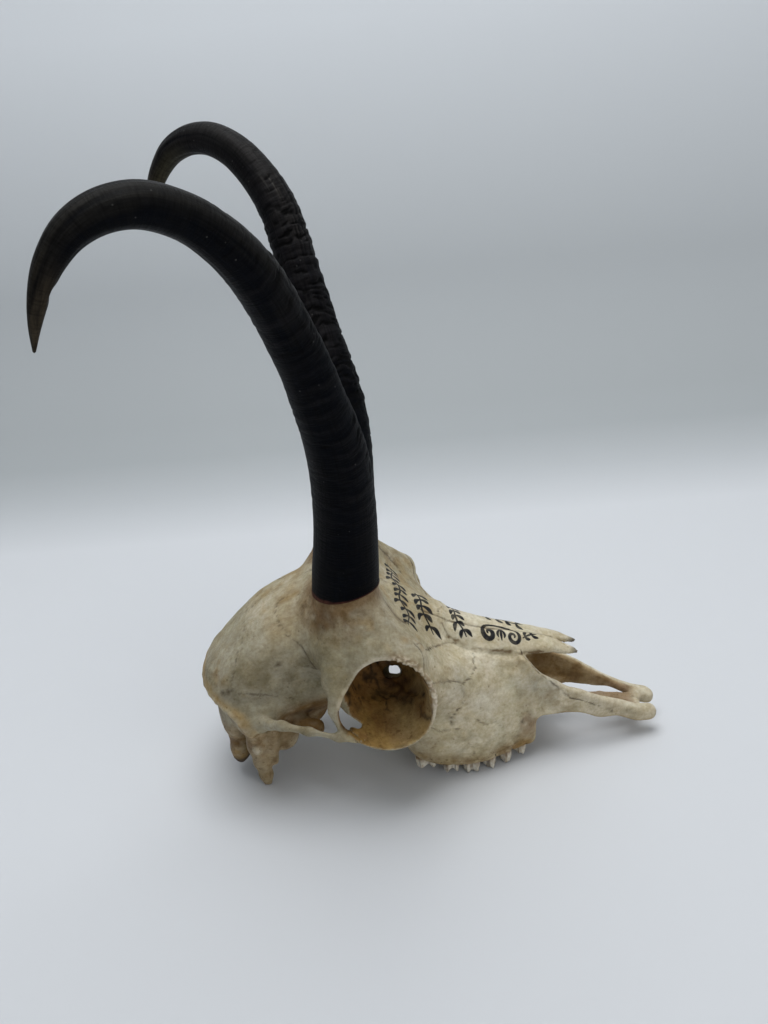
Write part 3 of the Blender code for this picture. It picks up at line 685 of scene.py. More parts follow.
def bone_material():
    material, node, link, shader = tree("bone", 0.62)
    paint = node("ShaderNodeAttribute", attribute_name="paint").outputs["Color"]
    dirt = node("ShaderNodeAttribute", attribute_name="dirt").outputs["Fac"]
    where = node("ShaderNodeTexCoord").outputs["Object"]
    broad = scaled_noise(node, link, where, 70, 6, 0.66)
    fine = scaled_noise(node, link, where, 700, 4, 0.6)
    grain = scaled_noise(node, link, where, 2600, 2, 0.5)
    streak = scaled_noise(node, link, where, 220, 4, 0.6, (0.45, 1.4, 1.4))
    pores = node("ShaderNodeTexVoronoi", Scale=420.0, Randomness=1.0)
    link(where, pores.inputs["Vector"])
    pore = range_node(node, link, pores.outputs["Distance"], 0.10, 0.24, 1, 0)
    chosen = range_node(node, link, scaled_noise(node, link, where, 150, 3), 0.52, 0.66, 0, 1)
    pore = math_node(node, link, "MULTIPLY", pore, chosen, True)
    blotch = scaled_noise(node, link, where, 300, 6, 0.7)
    hue = scaled_noise(node, link, where, 45, 4, 0.6)
    light = scaled_noise(node, link, where, 170, 6, 0.68, (1.0, 1.3, 1.3))
    tint = mix_colour(node, link, "MULTIPLY", range_node(node, link, broad, 0.40, 0.64, 0.0, 0.85),
                      paint, (0.76, 0.70, 0.57))
    tint = mix_colour(node, link, "MULTIPLY", range_node(node, link, hue, 0.44, 0.64, 0.0, 0.5),
                      tint, (0.88, 0.89, 0.78))
    tint = mix_colour(node, link, "SOFT_LIGHT", range_node(node, link, light, 0.46, 0.66, 0.0, 0.5),
                      tint, (0.80, 0.78, 0.72))
    tint = mix_colour(node, link, "MULTIPLY", range_node(node, link, blotch, 0.48, 0.70, 0.0, 0.45),
                      tint, (0.66, 0.61, 0.50))
    tint = mix_colour(node, link, "MULTIPLY", range_node(node, link, streak, 0.46, 0.66, 0.0, 0.55),
                      tint, (0.74, 0.72, 0.65))
    tint = mix_colour(node, link, "MULTIPLY", range_node(node, link, fine, 0.42, 0.68, 0.0, 0.50),
                      tint, (0.68, 0.62, 0.52))
    speck = math_node(node, link, "MULTIPLY", pore, 0.6)
    tint = mix_colour(node, link, "MULTIPLY", speck, tint, (0.42, 0.34, 0.24))
    spots = range_node(node, link, scaled_noise(node, link, where, 380, 5, 0.75), 0.56, 0.66, 0, 1)
    spots = math_node(node, link, "MULTIPLY", spots, dirt, True)
    tint = mix_colour(node, link, "MULTIPLY", spots, tint, (0.40, 0.30, 0.18))
    link(tint, shader.inputs["Base Color"])
    height = math_node(node, link, "MULTIPLY", fine, 0.5)
    height = math_node(node, link, "ADD", height, math_node(node, link, "MULTIPLY", grain, 0.16))
    height = math_node(node, link, "ADD", height, math_node(node, link, "MULTIPLY", streak, 0.35))
    height = math_node(node, link, "SUBTRACT", height, math_node(node, link, "MULTIPLY", pore, 0.35))
    bump = node("ShaderNodeBump", Strength=0.8, Distance=0.0005)
    link(height, bump.inputs["Height"])
    link(bump.outputs[0], shader.inputs["Normal"])
    link(range_node(node, link, fine, 0.3, 0.7, 0.52, 0.72), shader.inputs["Roughness"])
    shader.inputs["Subsurface Weight"].default_value = 0.06
    shader.inputs["Subsurface Radius"].default_value = (0.0022, 0.0014, 0.0008)
    shader.inputs["Subsurface Scale"].default_value = 1.0
    shader.inputs["Specular IOR Level"].default_value = 0.32
    return material


def tooth_material():
    material, node, link, shader = tree("tooth", 0.4)
    paint = node("ShaderNodeAttribute", attribute_name="paint").outputs["Color"]
    where = node("ShaderNodeTexCoord").outputs["Object"]
    fine = scaled_noise(node, link, where, 900, 4, 0.6)
    crack = scaled_noise(node, link, where, 800, 3, 0.6, (1.6, 1.6, 0.25))
    tint = mix_colour(node, link, "MULTIPLY", range_node(node, link, fine, 0.4, 0.7, 0.0, 0.6),
                      paint, (0.72, 0.62, 0.46))
    tint = mix_colour(node, link, "MULTIPLY", range_node(node, link, crack, 0.52, 0.64, 0.0, 0.55),
                      tint, (0.6, 0.48, 0.32))
    link(tint, shader.inputs["Base Color"])
    bump = node("ShaderNodeBump", Strength=0.4, Distance=0.0003)
    link(math_node(node, link, "ADD", fine, crack), bump.inputs["Height"])
    link(bump.outputs[0], shader.inputs["Normal"])
    link(range_node(node, link, fine, 0.3, 0.7, 0.28, 0.5), shader.inputs["Roughness"])
    return material


def horn_material():
    """The attribute "straight" holds each point's place on the horn as if it were straight."""
    material, node, link, shader = tree("horn", 0.45)
    paint = node("ShaderNodeAttribute", attribute_name="paint").outputs["Color"]
    where = node("ShaderNodeAttribute", attribute_name="straight").outputs["Vector"]
    fibre = scaled_noise(node, link, where, 1.0, 5, 0.6, (1.5, 1.5, 0.05))
    ring = scaled_noise(node, link, where, 1.0, 4, 0.6, (0.16, 0.16, 1.3))
    broad = scaled_noise(node, link, where, 0.12, 4, 0.6)
    grain = scaled_noise(node, link, where, 3.5, 3, 0.6)
    tint = mix_colour(node, link, "MULTIPLY", range_node(node, link, fibre, 0.4, 0.65, 0.0, 0.75),
                      paint, (0.45, 0.43, 0.42))
    tint = mix_colour(node, link, "MULTIPLY", range_node(node, link, ring, 0.45, 0.66, 0.0, 0.7),
                      tint, (0.45, 0.44, 0.45))
    tint = mix_colour(node, link, "ADD", range_node(node, link, broad, 0.5, 0.75, 0.0, 0.25),
                      tint, (0.0016, 0.0015, 0.0014))
    speck = node("ShaderNodeTexVoronoi", Scale=0.21, Randomness=1.0)
    link(where, speck.inputs["Vector"])
    dot = range_node(node, link, speck.outputs["Distance"], 0.05, 0.075, 1, 0)
    tint = mix_colour(node, link, "MIX", math_node(node, link, "MULTIPLY", dot, 0.75), tint,
                      (0.06, 0.058, 0.055))
    link(tint, shader.inputs["Base Color"])
    height = math_node(node, link, "MULTIPLY", fibre, 0.45)
    height = math_node(node, link, "ADD", height, math_node(node, link, "MULTIPLY", ring, 0.8))
    height = math_node(node, link, "ADD", height, math_node(node, link, "MULTIPLY", grain, 0.25))
    bump = node("ShaderNodeBump", Strength=0.7, Distance=0.0005)
    link(height, bump.inputs["Height"])
    link(bump.outputs[0], shader.inputs["Normal"])
    rough = node("ShaderNodeAttribute", attribute_name="rough").outputs["Fac"]
    rough = math_node(node, link, "ADD", rough, range_node(node, link, grain, 0.3, 0.7, -0.06, 0.08))
    link(rough, shader.inputs["Roughness"])
    shader.inputs["Specular IOR Level"].default_value = 0.045
    return material


def spiral(centre, radius, turns, start, sense, end=0.16):
    """Points (x, y) of a spiral from its outside to its eye."""
    out = []
    for t in np.linspace(0, 1, int(18 * turns) + 6):
        r = radius * ((1 - t) + end * t)
        a = start + sense * 2 * math.pi * turns * t
        out.append((centre[0] + r * math.cos(a), centre[1] + r * math.sin(a)))
    return out


def bend(points, count=28):
    """Smooth curve (x, y) through the points."""
    rows = [(n, *p) for n, p in enumerate(points)]
    t = np.linspace(0, len(points) - 1, count)
    return list(zip(curve(rows, t, 1), curve(rows, t, 2)))


def ornament():
    """Ink strokes of a scroll ornament, seen from above: (points, widths)."""
    strokes = []

    def add(points, thick, thin=0.14, peak=0.5):
        t = np.linspace(0, 1, len(points))
        swell = np.where(t < peak, t / peak, (1 - t) / (1 - peak))
        strokes.append((points, thin + (thick - thin) * np.sin(swell * math.pi / 2)))

    def vine(start, end, wave, count, leaf, thick):
        """Wavy stem with a pair of slanting leaves at each step."""
        start, way = np.array(start, float), np.array(end, float) - np.array(start, float)
        ahead = way / np.linalg.norm(way)
        aside = np.array([-ahead[1], ahead[0]])

        def at(t):
            return start + way * t + aside * wave * math.sin(math.pi * count * t / 2)

        add([tuple(at(t)) for t in np.linspace(0, 1, 10 * count)], 0.42, 0.25)
        for k in range(count):
            root = at((k + 0.3) / count)
            for sign in (1, -1):
                size = leaf * (1.0 if (k + (sign > 0)) % 2 else 0.72)
                middle = root + aside * sign * size * 0.62 + ahead * size * 0.30
                tip = root + aside * sign * size * 0.98 + ahead * size * 0.95
                add(bend([tuple(root), tuple(middle), tuple(tip)], 12), thick, 0.18, 0.6)

    # On the nose bones: two volutes joined by a bow over a bud, with leaves beside them.
    for cx, sense, thick in ((61.4, 1, 1.15), (72.4, -1, 0.85)):
        add(spiral((cx, -6.6), 3.3, 1.3, math.pi / 2, sense), thick, 0.34, 0.3)
    add(bend([(60.6, -3.3), (63.6, -2.5), (66.9, -2.2), (70.2, -2.5), (73.2, -3.3)]), 0.62, 0.4)
    for dx in (-1.6, 0, 1.6):
        add(bend([(66.9 + dx * 0.2, -3.9), (66.9 + dx, -6.2), (66.9 + dx * 0.8, -8.8 + 0.7 * abs(dx))], 14), 0.6, 0.15)
    vine((76.8, -6.4), (83.0, -3.4), 0.3, 2, 2.4, 0.75)
    vine((60.0, 4.4), (78.0, 3.6), 0.8, 4, 3.2, 0.85)
    # Sprig across the root of the nose, and two over the forehead.
    vine((44.6, 4.6), (50.2, -9.8), 0.7, 5, 3.0, 0.9)
    vine((18.6, 19.0), (26.2, -22.5), 0.9, 11, 3.2, 0.9)
    vine((29.6, 3.0), (35.2, -14.5), 0.8, 5, 3.8, 1.0)
    return strokes


def drop(tree_, points, from_z=150.0):
    """Points (x, y) put on the top of the bone below them."""
    out = []
    for x, y in points:
        hit = tree_.ray_cast(Vector((x, y, from_z)), Vector((0, 0, -1)))
        out.append(tuple(hit[0]) if hit[0] is not None else (x, y, 60.0))
    return np.array(out)


def on_bone(tree_, points):
    """A polyline cut into short steps and laid on the bone."""
    points = np.array(points, float)
    out = []
    for a, b in zip(points, points[1:]):
        count = max(1, round(float(np.linalg.norm(b - a)) / 1.5))
        out += [a + (b - a) * k / count for k in range(count)]
    out.append(points[-1])
    return np.array([tuple(tree_.find_nearest(Vector(q))[0]) for q in out])


def skull_mesh():
    xs = np.arange(-76, 143, VOXEL)
    ys = np.arange(VOXEL / 2, 56, VOXEL)
    zs = np.arange(-2, 105, VOXEL)
    p = (xs[:, None, None], ys[None, :, None], zs[None, None, :])
    half = np.broadcast_to(skull(p), (len(xs), len(ys), len(zs))).astype(np.float32)
    field = np.concatenate([half[:, ::-1], half], 1)
    corner = np.array([xs[0], -ys[-1], zs[0]])
    verts, quads = nets(field, corner, VOXEL)
    mesh = bpy.data.meshes.new("raw")
    mesh.from_pydata(verts.tolist(), [], quads.tolist())
    obj = bpy.data.objects.new("raw", mesh)
    bpy.context.scene.collection.objects.link(obj)
    coarser = obj.modifiers.new("coarser", "DECIMATE")
    coarser.ratio = min(1.0, BASE_TRIANGLES / (2 * len(quads)))
    graph = bpy.context.evaluated_depsgraph_get()
    made = obj.evaluated_get(graph).to_mesh()
    made.calc_loop_triangles()
    verts = np.empty(len(made.vertices) * 3, np.float32)
    made.vertices.foreach_get("co", verts)
    faces = np.empty(len(made.loop_triangles) * 3, np.int32)
    made.loop_triangles.foreach_get("vertices", faces)
    verts, faces = verts.reshape(-1, 3).astype(float), faces.reshape(-1, 3).astype(int)
    bpy.data.objects.remove(obj)
    bpy.data.meshes.remove(mesh)
    print("skull: raw quads", len(quads), "after decimation", len(faces))
    return settle(verts, 2, 0.5 * VOXEL), faces


def mirrored(points):
    points = np.array(points, float)
    return points, points * np.array([1, -1, 1])


def make_skull(material):
    verts, faces = skull_mesh()
    tree_ = BVHTree.FromPolygons(verts.tolist(), faces.tolist())
    seams = []
    for width, dark, ragged, points in SEAMS:
        for side in mirrored(points):
            if np.abs(side[:, 1]).max() == 0 and len(seams) and side[0, 0] == seams[-1][3][0, 0]:
                continue
            seams.append((width, dark, ragged, on_bone(tree_, side)))
    seams.append((0.34, 0.75, 0.15, on_bone(tree_, MIDLINE)))
    edges = [on_bone(tree_, side) for side in mirrored(NASAL_EDGE)]
    ink = [(drop(tree_, points), widths) for points, widths in ornament()]

    def ink_target(at):
        size = np.full(len(at), 3.0)
        for points, widths in ink:
            size = np.minimum(size, 0.23 + 0.9 * np.maximum(line_distance(at, points, widths) - 0.15, 0))
        return size

    def target(at):
        size = np.full(len(at), 3.0)
        for width, dark, ragged, points in seams:
            size = np.minimum(size, 0.42 + 0.9 * np.maximum(line_distance(at, points) - 0.7, 0))
        rim = np.abs(np.hypot(at[:, 0] - ORBIT[0], at[:, 2] - ORBIT[1]) - ORBIT_RADIUS - 1)
        rim = np.maximum(rim + np.abs(np.abs(at[:, 1]) - RIM_Y) - 2.5, 0)
        size = np.minimum(size, 0.50 + 0.9 * rim + 3 * (at[:, 2] < 58))
        for points in edges:
            size = np.minimum(size, 0.42 + 0.9 * np.maximum(line_distance(at, points) - 0.9, 0))
        return size

    for wanted in (ink_target, target):
        verts, faces = refine(verts, faces, wanted, 4, MOST_TRIANGLES)
    verts = settle(verts, 1, 0.2)
    normal = slope_at(verts)
    normal /= np.maximum(np.linalg.norm(normal, axis=1), 1e-9)[:, None]
    x, y, z = verts[:, 0], np.abs(verts[:, 1]), verts[:, 2]
    even = np.stack([x, y, z], 1)

    # Warp for ragged lines, then each mark's strength.
    warp = np.stack([noise(verts, 1.3, s) + 0.6 * noise(verts, 2.7, s + 3) for s in (1, 2, 3)], 1)
    seam = np.zeros(len(verts))
    for width, dark, ragged, points in seams:
        away = line_distance(verts + warp * ragged * 0.9, points)
        vary = 0.75 + 0.45 * noise(verts, 5.0, 21)
        seam = np.maximum(seam, (0.25 + dark) * vary * ramp(1.0, 0.25, away / (width * 1.9)))
    edge = np.zeros(len(verts))
    for points in edges:
        edge = np.maximum(edge, ramp(1.1, 0.25, line_distance(verts + warp * 0.7, points)))
    inked = np.zeros(len(verts))
    for points, widths in ink:
        inked = np.maximum(inked, ramp(0.16, -0.04, line_distance(verts, points, widths)))
    inked *= 0.93 + 0.1 * noise(verts, 1.6, 33)

    # Relief: broad unevenness, finer roughness where the bone is rough, pits and seams.
    ox, oz = ORBIT
    wider = uneven(x, z)
    to_rim = np.hypot(np.hypot(x - ox, z - oz) - ORBIT_RADIUS - 1 - wider, y - RIM_Y)
    around = np.degrees(np.arctan2(z - oz, x - ox))
    ragged_rim = ramp(3.2, 1.2, to_rim) * ramp(-18, 5, around) * ramp(94, 80, around) * (1 - 0.8 * (verts[:, 1] > 0))
    alveolar = ramp(8.5, 2.5, z - gum(x)) * ramp(20, 26, x) * ramp(80, 75, x) * ramp(11, 15, y)
    occiput = ramp(-52, -58, x) * ramp(52, 44, z)
    ear = blob(even, (-46, 29, 33), (14, 12, 12))
    rough = np.clip(0.25 + 0.9 * alveolar + 0.8 * occiput + 0.9 * ear, 0, 1.3)
    lift = (0.22 * noise(verts, 9, 5) + 0.12 * noise(verts, 4.2, 6)
            + rough * (0.20 * noise(verts, 2.1, 7) + 0.12 * noise(verts, 1.2, 8)))
    bumps = ragged_rim * ramp(-0.1, 0.35, noise(verts, 0.95, 9))
    lift += 0.55 * bumps + 0.2 * ragged_rim * noise(verts, 2.0, 10)
    lift -= 0.16 * seam + 0.35 * edge * (0.6 + 0.6 * noise(verts, 2.0, 12))
    pits = np.zeros(len(verts))
    for px, py, pz, size in PITS:
        q = even + 0.45 * warp - np.array((px, py, pz))
        pits = np.maximum(pits, ramp(1.6 * size, 0.4 * size, np.linalg.norm(q * (0.75, 1, 1.15), axis=1)))
    pores = ramp(0.66, 0.82, noise(verts, 1.3, 14)) * np.clip(alveolar + 0.5 * ear, 0, 1)
    lift -= 0.55 * pits + 0.3 * pores
    pits = np.maximum(pits, 0.8 * pores)
    crack = line_distance(verts, seams[-1][3])
    lift -= 0.45 * np.exp(-(crack / 1.1) ** 2) * ramp(40, 50, x)
    keep = 1 - ramp(0.9, 0.0, z)
    seat = blob(even, (0, HORN_SPACING / 2, HORN_HEIGHT), (18, 18, 10)) * ramp(99.5, 100.4, z - RIM_TILT * x)
    lift *= keep * (1 - seat)
    shaped = verts + normal * lift[:, None]
    middle = 0.5 * (curve(PLATE, x, 1) + curve(PLATE, x, 2))
    shaped[:, 2] -= 1.9 * (verts[:, 1] < 0) * ramp(88, 98, x) * ramp(124, 106, x) * ramp(middle, middle + 3, z)
    shaped[:, 2] += 3.0 * (verts[:, 1] > 5) * ramp(102, 111, x) * ramp(133, 125, x) * ramp(middle + 2, middle - 4, z)
    shaped[:, 0] += 1.7 * (verts[:, 1] > 0) * ramp(118, 136, x)
    shaped[:, 2] = np.maximum(shaped[:, 2], 0.0)

    # Colours by region, in linear light.
    cream, pale = np.array((0.60, 0.53, 0.39)), np.array((0.76, 0.70, 0.56))
    grey, olive = np.array((0.40, 0.365, 0.27)), np.array((0.25, 0.22, 0.145))
    ochre, brown = np.array((0.42, 0.265, 0.085)), np.array((0.16, 0.088, 0.030))
    dark = np.array((0.06, 0.035, 0.016))
    n1, n2, n3 = noise(verts, 14, 41), noise(verts, 6, 42), noise(verts, 2.6, 43)
    colour = np.repeat(cream[None], len(verts), 0)

    def paint(target_colour, weight):
        nonlocal colour
        weight = np.clip(weight, 0, 1)[:, None]
        colour = colour * (1 - weight) + target_colour * weight

    n4 = noise(verts, 1.1, 44)
    paint(np.array((0.47, 0.42, 0.31)), 0.75 * ramp(38, 26, x))
    paint(grey, 0.9 * ramp(8, -12, x + 3 * n1) * ramp(30, 38, z))
    paint(olive, 0.40 * ramp(-0.1, 0.7, n2 + 0.7 * n3) * ramp(10, -4, x))
    paint(olive, 0.80 * ramp(-0.1, 0.6, n1 + 0.5 * n2) * ramp(0, -16, x) * ramp(36, 46, z) * ramp(88, 78, z))
    paint(olive, 0.6 * blob(even, (-22, 30, 58), (16, 10, 14)) * (0.8 + 0.5 * n2))
    paint(cream, 0.65 * ramp(72, 84, z + 5 * n2) * ramp(-12, -22, x))
    paint(np.array((0.38, 0.275, 0.135)), 0.85 * ramp(-0.5, 0.5, n2 + 0.6 * n3) * blob(even, (-30, 10, 88), (34, 22, 14)))
    stain = np.clip(0.85 * blob(even, (-3, 33, 92), (22, 16, 16)) + 0.8 * blob(even, (-14, 24, 92), (16, 16, 14)), 0, 1)
    paint(np.array((0.33, 0.22, 0.10)), 0.75 * stain * ramp(-0.9, 0.3, -n2 + 0.5 * n3))
    paint(np.array((0.20, 0.135, 0.070)), 0.70 * stain * ramp(-0.3, 0.6, n2 + 0.8 * n3 + 0.5 * n4) * ramp(78, 93, z))
    paint(dark, 0.6 * stain * ramp(0.2, 0.8, n3 + 0.7 * n4) * ramp(86, 97, z))
    paint(brown * 1.2, 0.7 * blob(even, (-10, 31, 91), (8, 9, 8)) * (0.8 + 0.6 * n3))
    paint(brown * 1.3, 0.7 * ramp(91, 99, z + 2 * n3) * ramp(26, 18, np.hypot(x, y - 22)))
    paint(grey, 0.55 * blob(even, (4, 38, 78), (16, 12, 12)) * (0.7 + 0.4 * n1))
    notch = blob(even, (-52, 30, 56.5), (9, 5, 4.5))
    paint(olive * 0.6, 0.75 * notch * (0.8 + 0.4 * n3))
    paint(olive * 0.8, 0.55 * blob(even, (-38, 33, 55.5), (16, 6, 6)) * (0.8 + 0.5 * n3))
    paint(ochre * 0.9, 0.45 * blob(even, (-58, 18, 62), (7, 16, 10)) * ramp(-0.4, 0.4, n2 + 0.5 * n3))
    paint(brown, 0.45 * blob(even, (-60, 22, 58), (5, 10, 9)) * ramp(-0.1, 0.4, n3 + 0.6 * n4))
    paint(pale, 0.85 * ramp(28, 38, x) * ramp(0.7, -0.5, n1 + 0.4 * n2) * ramp(14, 20, z))
    # Towards the nose, faces turned upwards are painted pale and faces turned sideways get grey and olive mottle:
    # painted light on the tops and painted shade on the sides, over the bone's own mottle.
    paint(pale, 0.42 * ramp(0.1, 0.9, normal[:, 2]) * ramp(36, 46, x))
    paint(grey, 0.42 * ramp(-0.1, 0.6, n2 - 0.5 * n1 + 0.6 * n3) * ramp(30, 40, x) * ramp(0.9, 0.3, normal[:, 2]))
    paint(olive, 0.22 * ramp(0.1, 0.7, n3 + 0.5 * n4 - 0.3 * n1) * ramp(30, 40, x) * ramp(0.9, 0.3, normal[:, 2]))
    top_face = ramp(0.2, 0.7, normal[:, 2]) * ramp(-8, 4, x) * ramp(44, 34, x)
    paint(grey, 0.50 * top_face * (0.8 + 0.5 * n2))
    paint(ochre, 0.40 * top_face * ramp(0.0, 0.7, n2 + 0.6 * n3))
    paint(cream, 0.45 * top_face * ramp(0.1, 0.7, -n2 + 0.5 * n1))
    paint(np.array((0.40, 0.375, 0.30)), 0.60 * blob(even, (80, 17, 38), (18, 12, 15)) * (0.9 + 0.5 * n3))
    paint(np.array((0.40, 0.37, 0.29)), 0.55 * blob(even, (45, 27, 52), (10, 14, 9)) * (0.8 + 0.6 * n3))
    paint(np.array((0.42, 0.38, 0.31)), 0.50 * blob(even, (38, 33, 42), (8, 10, 11)) * (0.8 + 0.6 * n3))
    paint(np.array((0.82, 0.77, 0.64)), 0.65 * blob(even, (58, 27, 34), (19, 14, 18)) * (0.7 + 0.7 * n2))
    paint(brown * 1.4, 0.85 * blob(even, (76, 20.5, 18), (7, 7, 10)) * (0.8 + 0.6 * n3))
    paint(brown * 1.6, 0.75 * alveolar * ramp(50, 66, x) * ramp(-0.6, 0.3, n2 + 0.6 * n3))
    brow_crease = blob(even, (20, 25, 86), (9, 7, 9))
    paint(brown, 0.6 * brow_crease * ramp(-0.4, 0.5, n3 + 0.5 * n4))
    out = np.hypot(x - ox, z - oz)
    facing = (normal[:, 0] * (x - ox) + normal[:, 2] * (z - oz)) / np.maximum(out, 1)
    deep = ramp(RIM_Y + 0.4, RIM_Y - 0.6, y + (z - oz) * 0.12) * ramp(-0.25, -0.6, facing)
    inner = np.maximum(deep, ramp(RIM_Y - 3, RIM_Y - 6, y)) * ramp(ORBIT_RADIUS + 2.6, ORBIT_RADIUS + 1.2, out - wider) * ramp(-0.05, -0.3, facing)
    inner = np.maximum(inner, ramp(ORBIT_RADIUS - 3, ORBIT_RADIUS - 5, out) * ramp(RIM_Y - 4, RIM_Y - 8, y))
    inner *= ramp(9, 11, y)
    low_part = ramp(48, 40, z)
    front_part, wall = ramp(16, 32, x), ramp(34, 26, y)
    tan = np.array((0.44, 0.32, 0.155))
    # Inside the eye socket: the brown over all of it is partly the bone's brown and partly painted shade of the hollow;
    # the ochre and tan on its floor and front are the bone's colour.
    paint(brown * 1.7, inner)
    paint(tan * 1.1, inner * 0.85 * front_part * ramp(70, 60, z) * ramp(-0.8, 0.3, n2))
    paint(ochre * 1.15, inner * 0.9 * low_part * ramp(-0.9, 0.2, n2 + 0.5 * n3))
    paint(tan * 1.1, inner * 0.7 * low_part * ramp(8, 24, x))
    # Dark at the top and back of the socket: painted shade under its roof.
    paint(np.array((0.15, 0.115, 0.07)), inner * 0.7 * ramp(20, 8, x) * ramp(52, 60, z))
    paint(dark * 1.1, inner * 0.7 * ramp(0.1, 0.5, n2 + 0.7 * n3) * (1 - 0.8 * low_part) * (1 - 0.6 * front_part))
    paint(np.array((0.40, 0.26, 0.085)), inner * 0.9 * blob(even, (23, 18, 58), (11, 18, 10)))
    paint(np.array((0.10, 0.045, 0.022)), inner * 0.8 * wall * blob(even, (22, 20, 46), (16, 20, 7)) * ramp(-0.7, 0.1, n3))
    # More dark on the upper part of the socket: painted shade under its roof.
    paint(dark * 0.6, inner * 0.8 * ramp(0.35, 0.7, n3 + 0.5 * n4) * (1 - 0.7 * low_part))
    # Dark brown over the temple hollow: the hollow's brown plus painted shade in it; the darkest patch at its floor is
    # painted shade.
    temple = blob(even, (-21, 24, 37), (26, 27, 17)) * ramp(-44, -34, x) * ramp(44, 40, y)
    temple = np.clip(1.8 * temple, 0, 1)
    paint(np.array((0.17, 0.095, 0.028)), temple * (0.95 + 0.3 * n3))
    paint(np.array((0.27, 0.165, 0.050)), 0.8 * temple * ramp(-16, -8, x) * ramp(-0.8, 0.2, n3))
    paint(dark, 0.8 * blob(even, (-24, 26, 43), (9, 12, 3.5)) * (0.8 + 0.5 * n3))
    crest = ramp(6.0, 1.5, line_distance(even, np.array([c[:3] for c in CREST])))
    paint(ochre, 0.75 * crest * (0.8 + 0.4 * n3))
    paint(pale, 0.5 * ramp(2.2, 0.8, line_distance(even, np.array([c[:3] for c in CREST]))))
    paint(ochre, 0.55 * ear * ramp(-0.5, 0.4, n2 + n3))
    paint(brown, 0.5 * ear * ramp(0.0, 0.7, -n2 + n3))
    lower = ramp(-26, -34, x) * ramp(37, 31, z)
    paint(np.array((0.34, 0.25, 0.14)), 0.85 * lower * (0.9 + 0.3 * n3))
    paint(brown, 0.6 * lower * ramp(0.0, 0.7, n2 + 0.7 * n3 + 0.4 * n4))
    paint(pale, 0.7 * blob(even, (-46.4, 28.6, 24.5), (3.0, 4, 3.5)))
    condyle = blob(even, (-57, 13, 16), (13, 15, 19))
    paint(ochre, 0.7 * condyle * ramp(-0.6, 0.2, n3))
    paint(brown, 0.7 * condyle * ramp(-0.3, 0.5, n2 + 0.5 * n3))
    paint(dark, 0.97 * ramp(0.05, 0.3, condyle) * ramp(12.5, 9.5, z + 0.8 * n3))
    paint(brown, 0.55 * occiput * ramp(-0.4, 0.5, n2))
    paint(ochre * 0.7, 0.75 * alveolar * ramp(-0.5, 0.5, n2 + 0.6 * n3))
    paint(brown, 0.6 * alveolar * ramp(0.15, 0.6, -n2 + 0.7 * n3))
    # Darker ochre on faces turned downwards, low on the face: painted shade on the undersides.
    under = ramp(0.0, -0.7, normal[:, 2]) * ramp(18, 24, x)
    paint(ochre * 0.9, 0.5 * under * ramp(40, 30, z))
    inside_nose = ramp(-0.1, -0.6, normal[:, 1] * np.sign(verts[:, 1])) * ramp(64, 74, x) * ramp(5, 7, y)
    paint(np.array((0.42, 0.30, 0.165)), 0.9 * inside_nose)
    paint(brown * 1.3, 0.6 * inside_nose * ramp(-0.1, 0.5, n2 + 0.6 * n3))
    paint(np.array((0.44, 0.32, 0.18)), 0.8 * ramp(0.4, 0.8, normal[:, 2]) * ramp(62, 66, x) * ramp(106, 102, x) * ramp(26, 24, z) * ramp(13, 11, y))
    # Brown on the strip between the muzzle prongs: the palate's brown plus painted shade between the prongs.
    between = ramp(80, 90, x) * ramp(132, 126, x) * ramp(7.5, 6, y) * ramp(34, 28, z)
    paint(np.array((0.30, 0.20, 0.12)), 0.85 * between)
    # Brown on the downward faces along the nasal bones: painted shade under them.
    paint(brown, 0.5 * ramp(50, 56, x) * ramp(10.5, 8, y) * ramp(0.1, -0.4, normal[:, 2]) * ramp(96, 84, x))
    paint(np.array((0.74, 0.67, 0.55)), 0.75 * ramp(2.0, 0.8, to_rim) * (1 - inner) * ramp(0.0, 0.5, 0.5 + 0.5 * n3))
    paint(brown * 1.6, 0.55 * ragged_rim)
    paint(np.array((0.80, 0.72, 0.60)), 0.85 * bumps)
    paint(ochre * 0.8, 0.3 * ramp(100, 92, x) * ramp(78, 86, x) * ramp(0.2, 0.8, n3 + 0.4) * ramp(40, 30, z))
    tips = ramp(98.5, 101.8, x + n3) * ramp(40, 44, z)
    paint(np.array((0.13, 0.12, 0.11)), 0.85 * tips)
    paint(brown, 0.8 * edge * ramp(-0.6, 0.3, n3))
    paint(dark, 0.9 * np.clip(seam, 0, 1))
    paint(dark, 0.75 * pits)
    paint(np.array((0.008, 0.008, 0.011)), 1.05 * inked)

    obj = new_object("skull_bone", placed(shaped), [faces], material, "bone")
    set_colour(obj, "paint", colour)
    dirt = np.clip(0.12 + 0.5 * stain + 0.8 * alveolar + 0.6 * ear + 0.6 * inner + 0.4 * lower, 0, 1)
    set_value(obj, "dirt", dirt * (1 - 0.9 * inked))
    attach(obj, "skull")
    print("skull triangles", len(faces))
    return obj


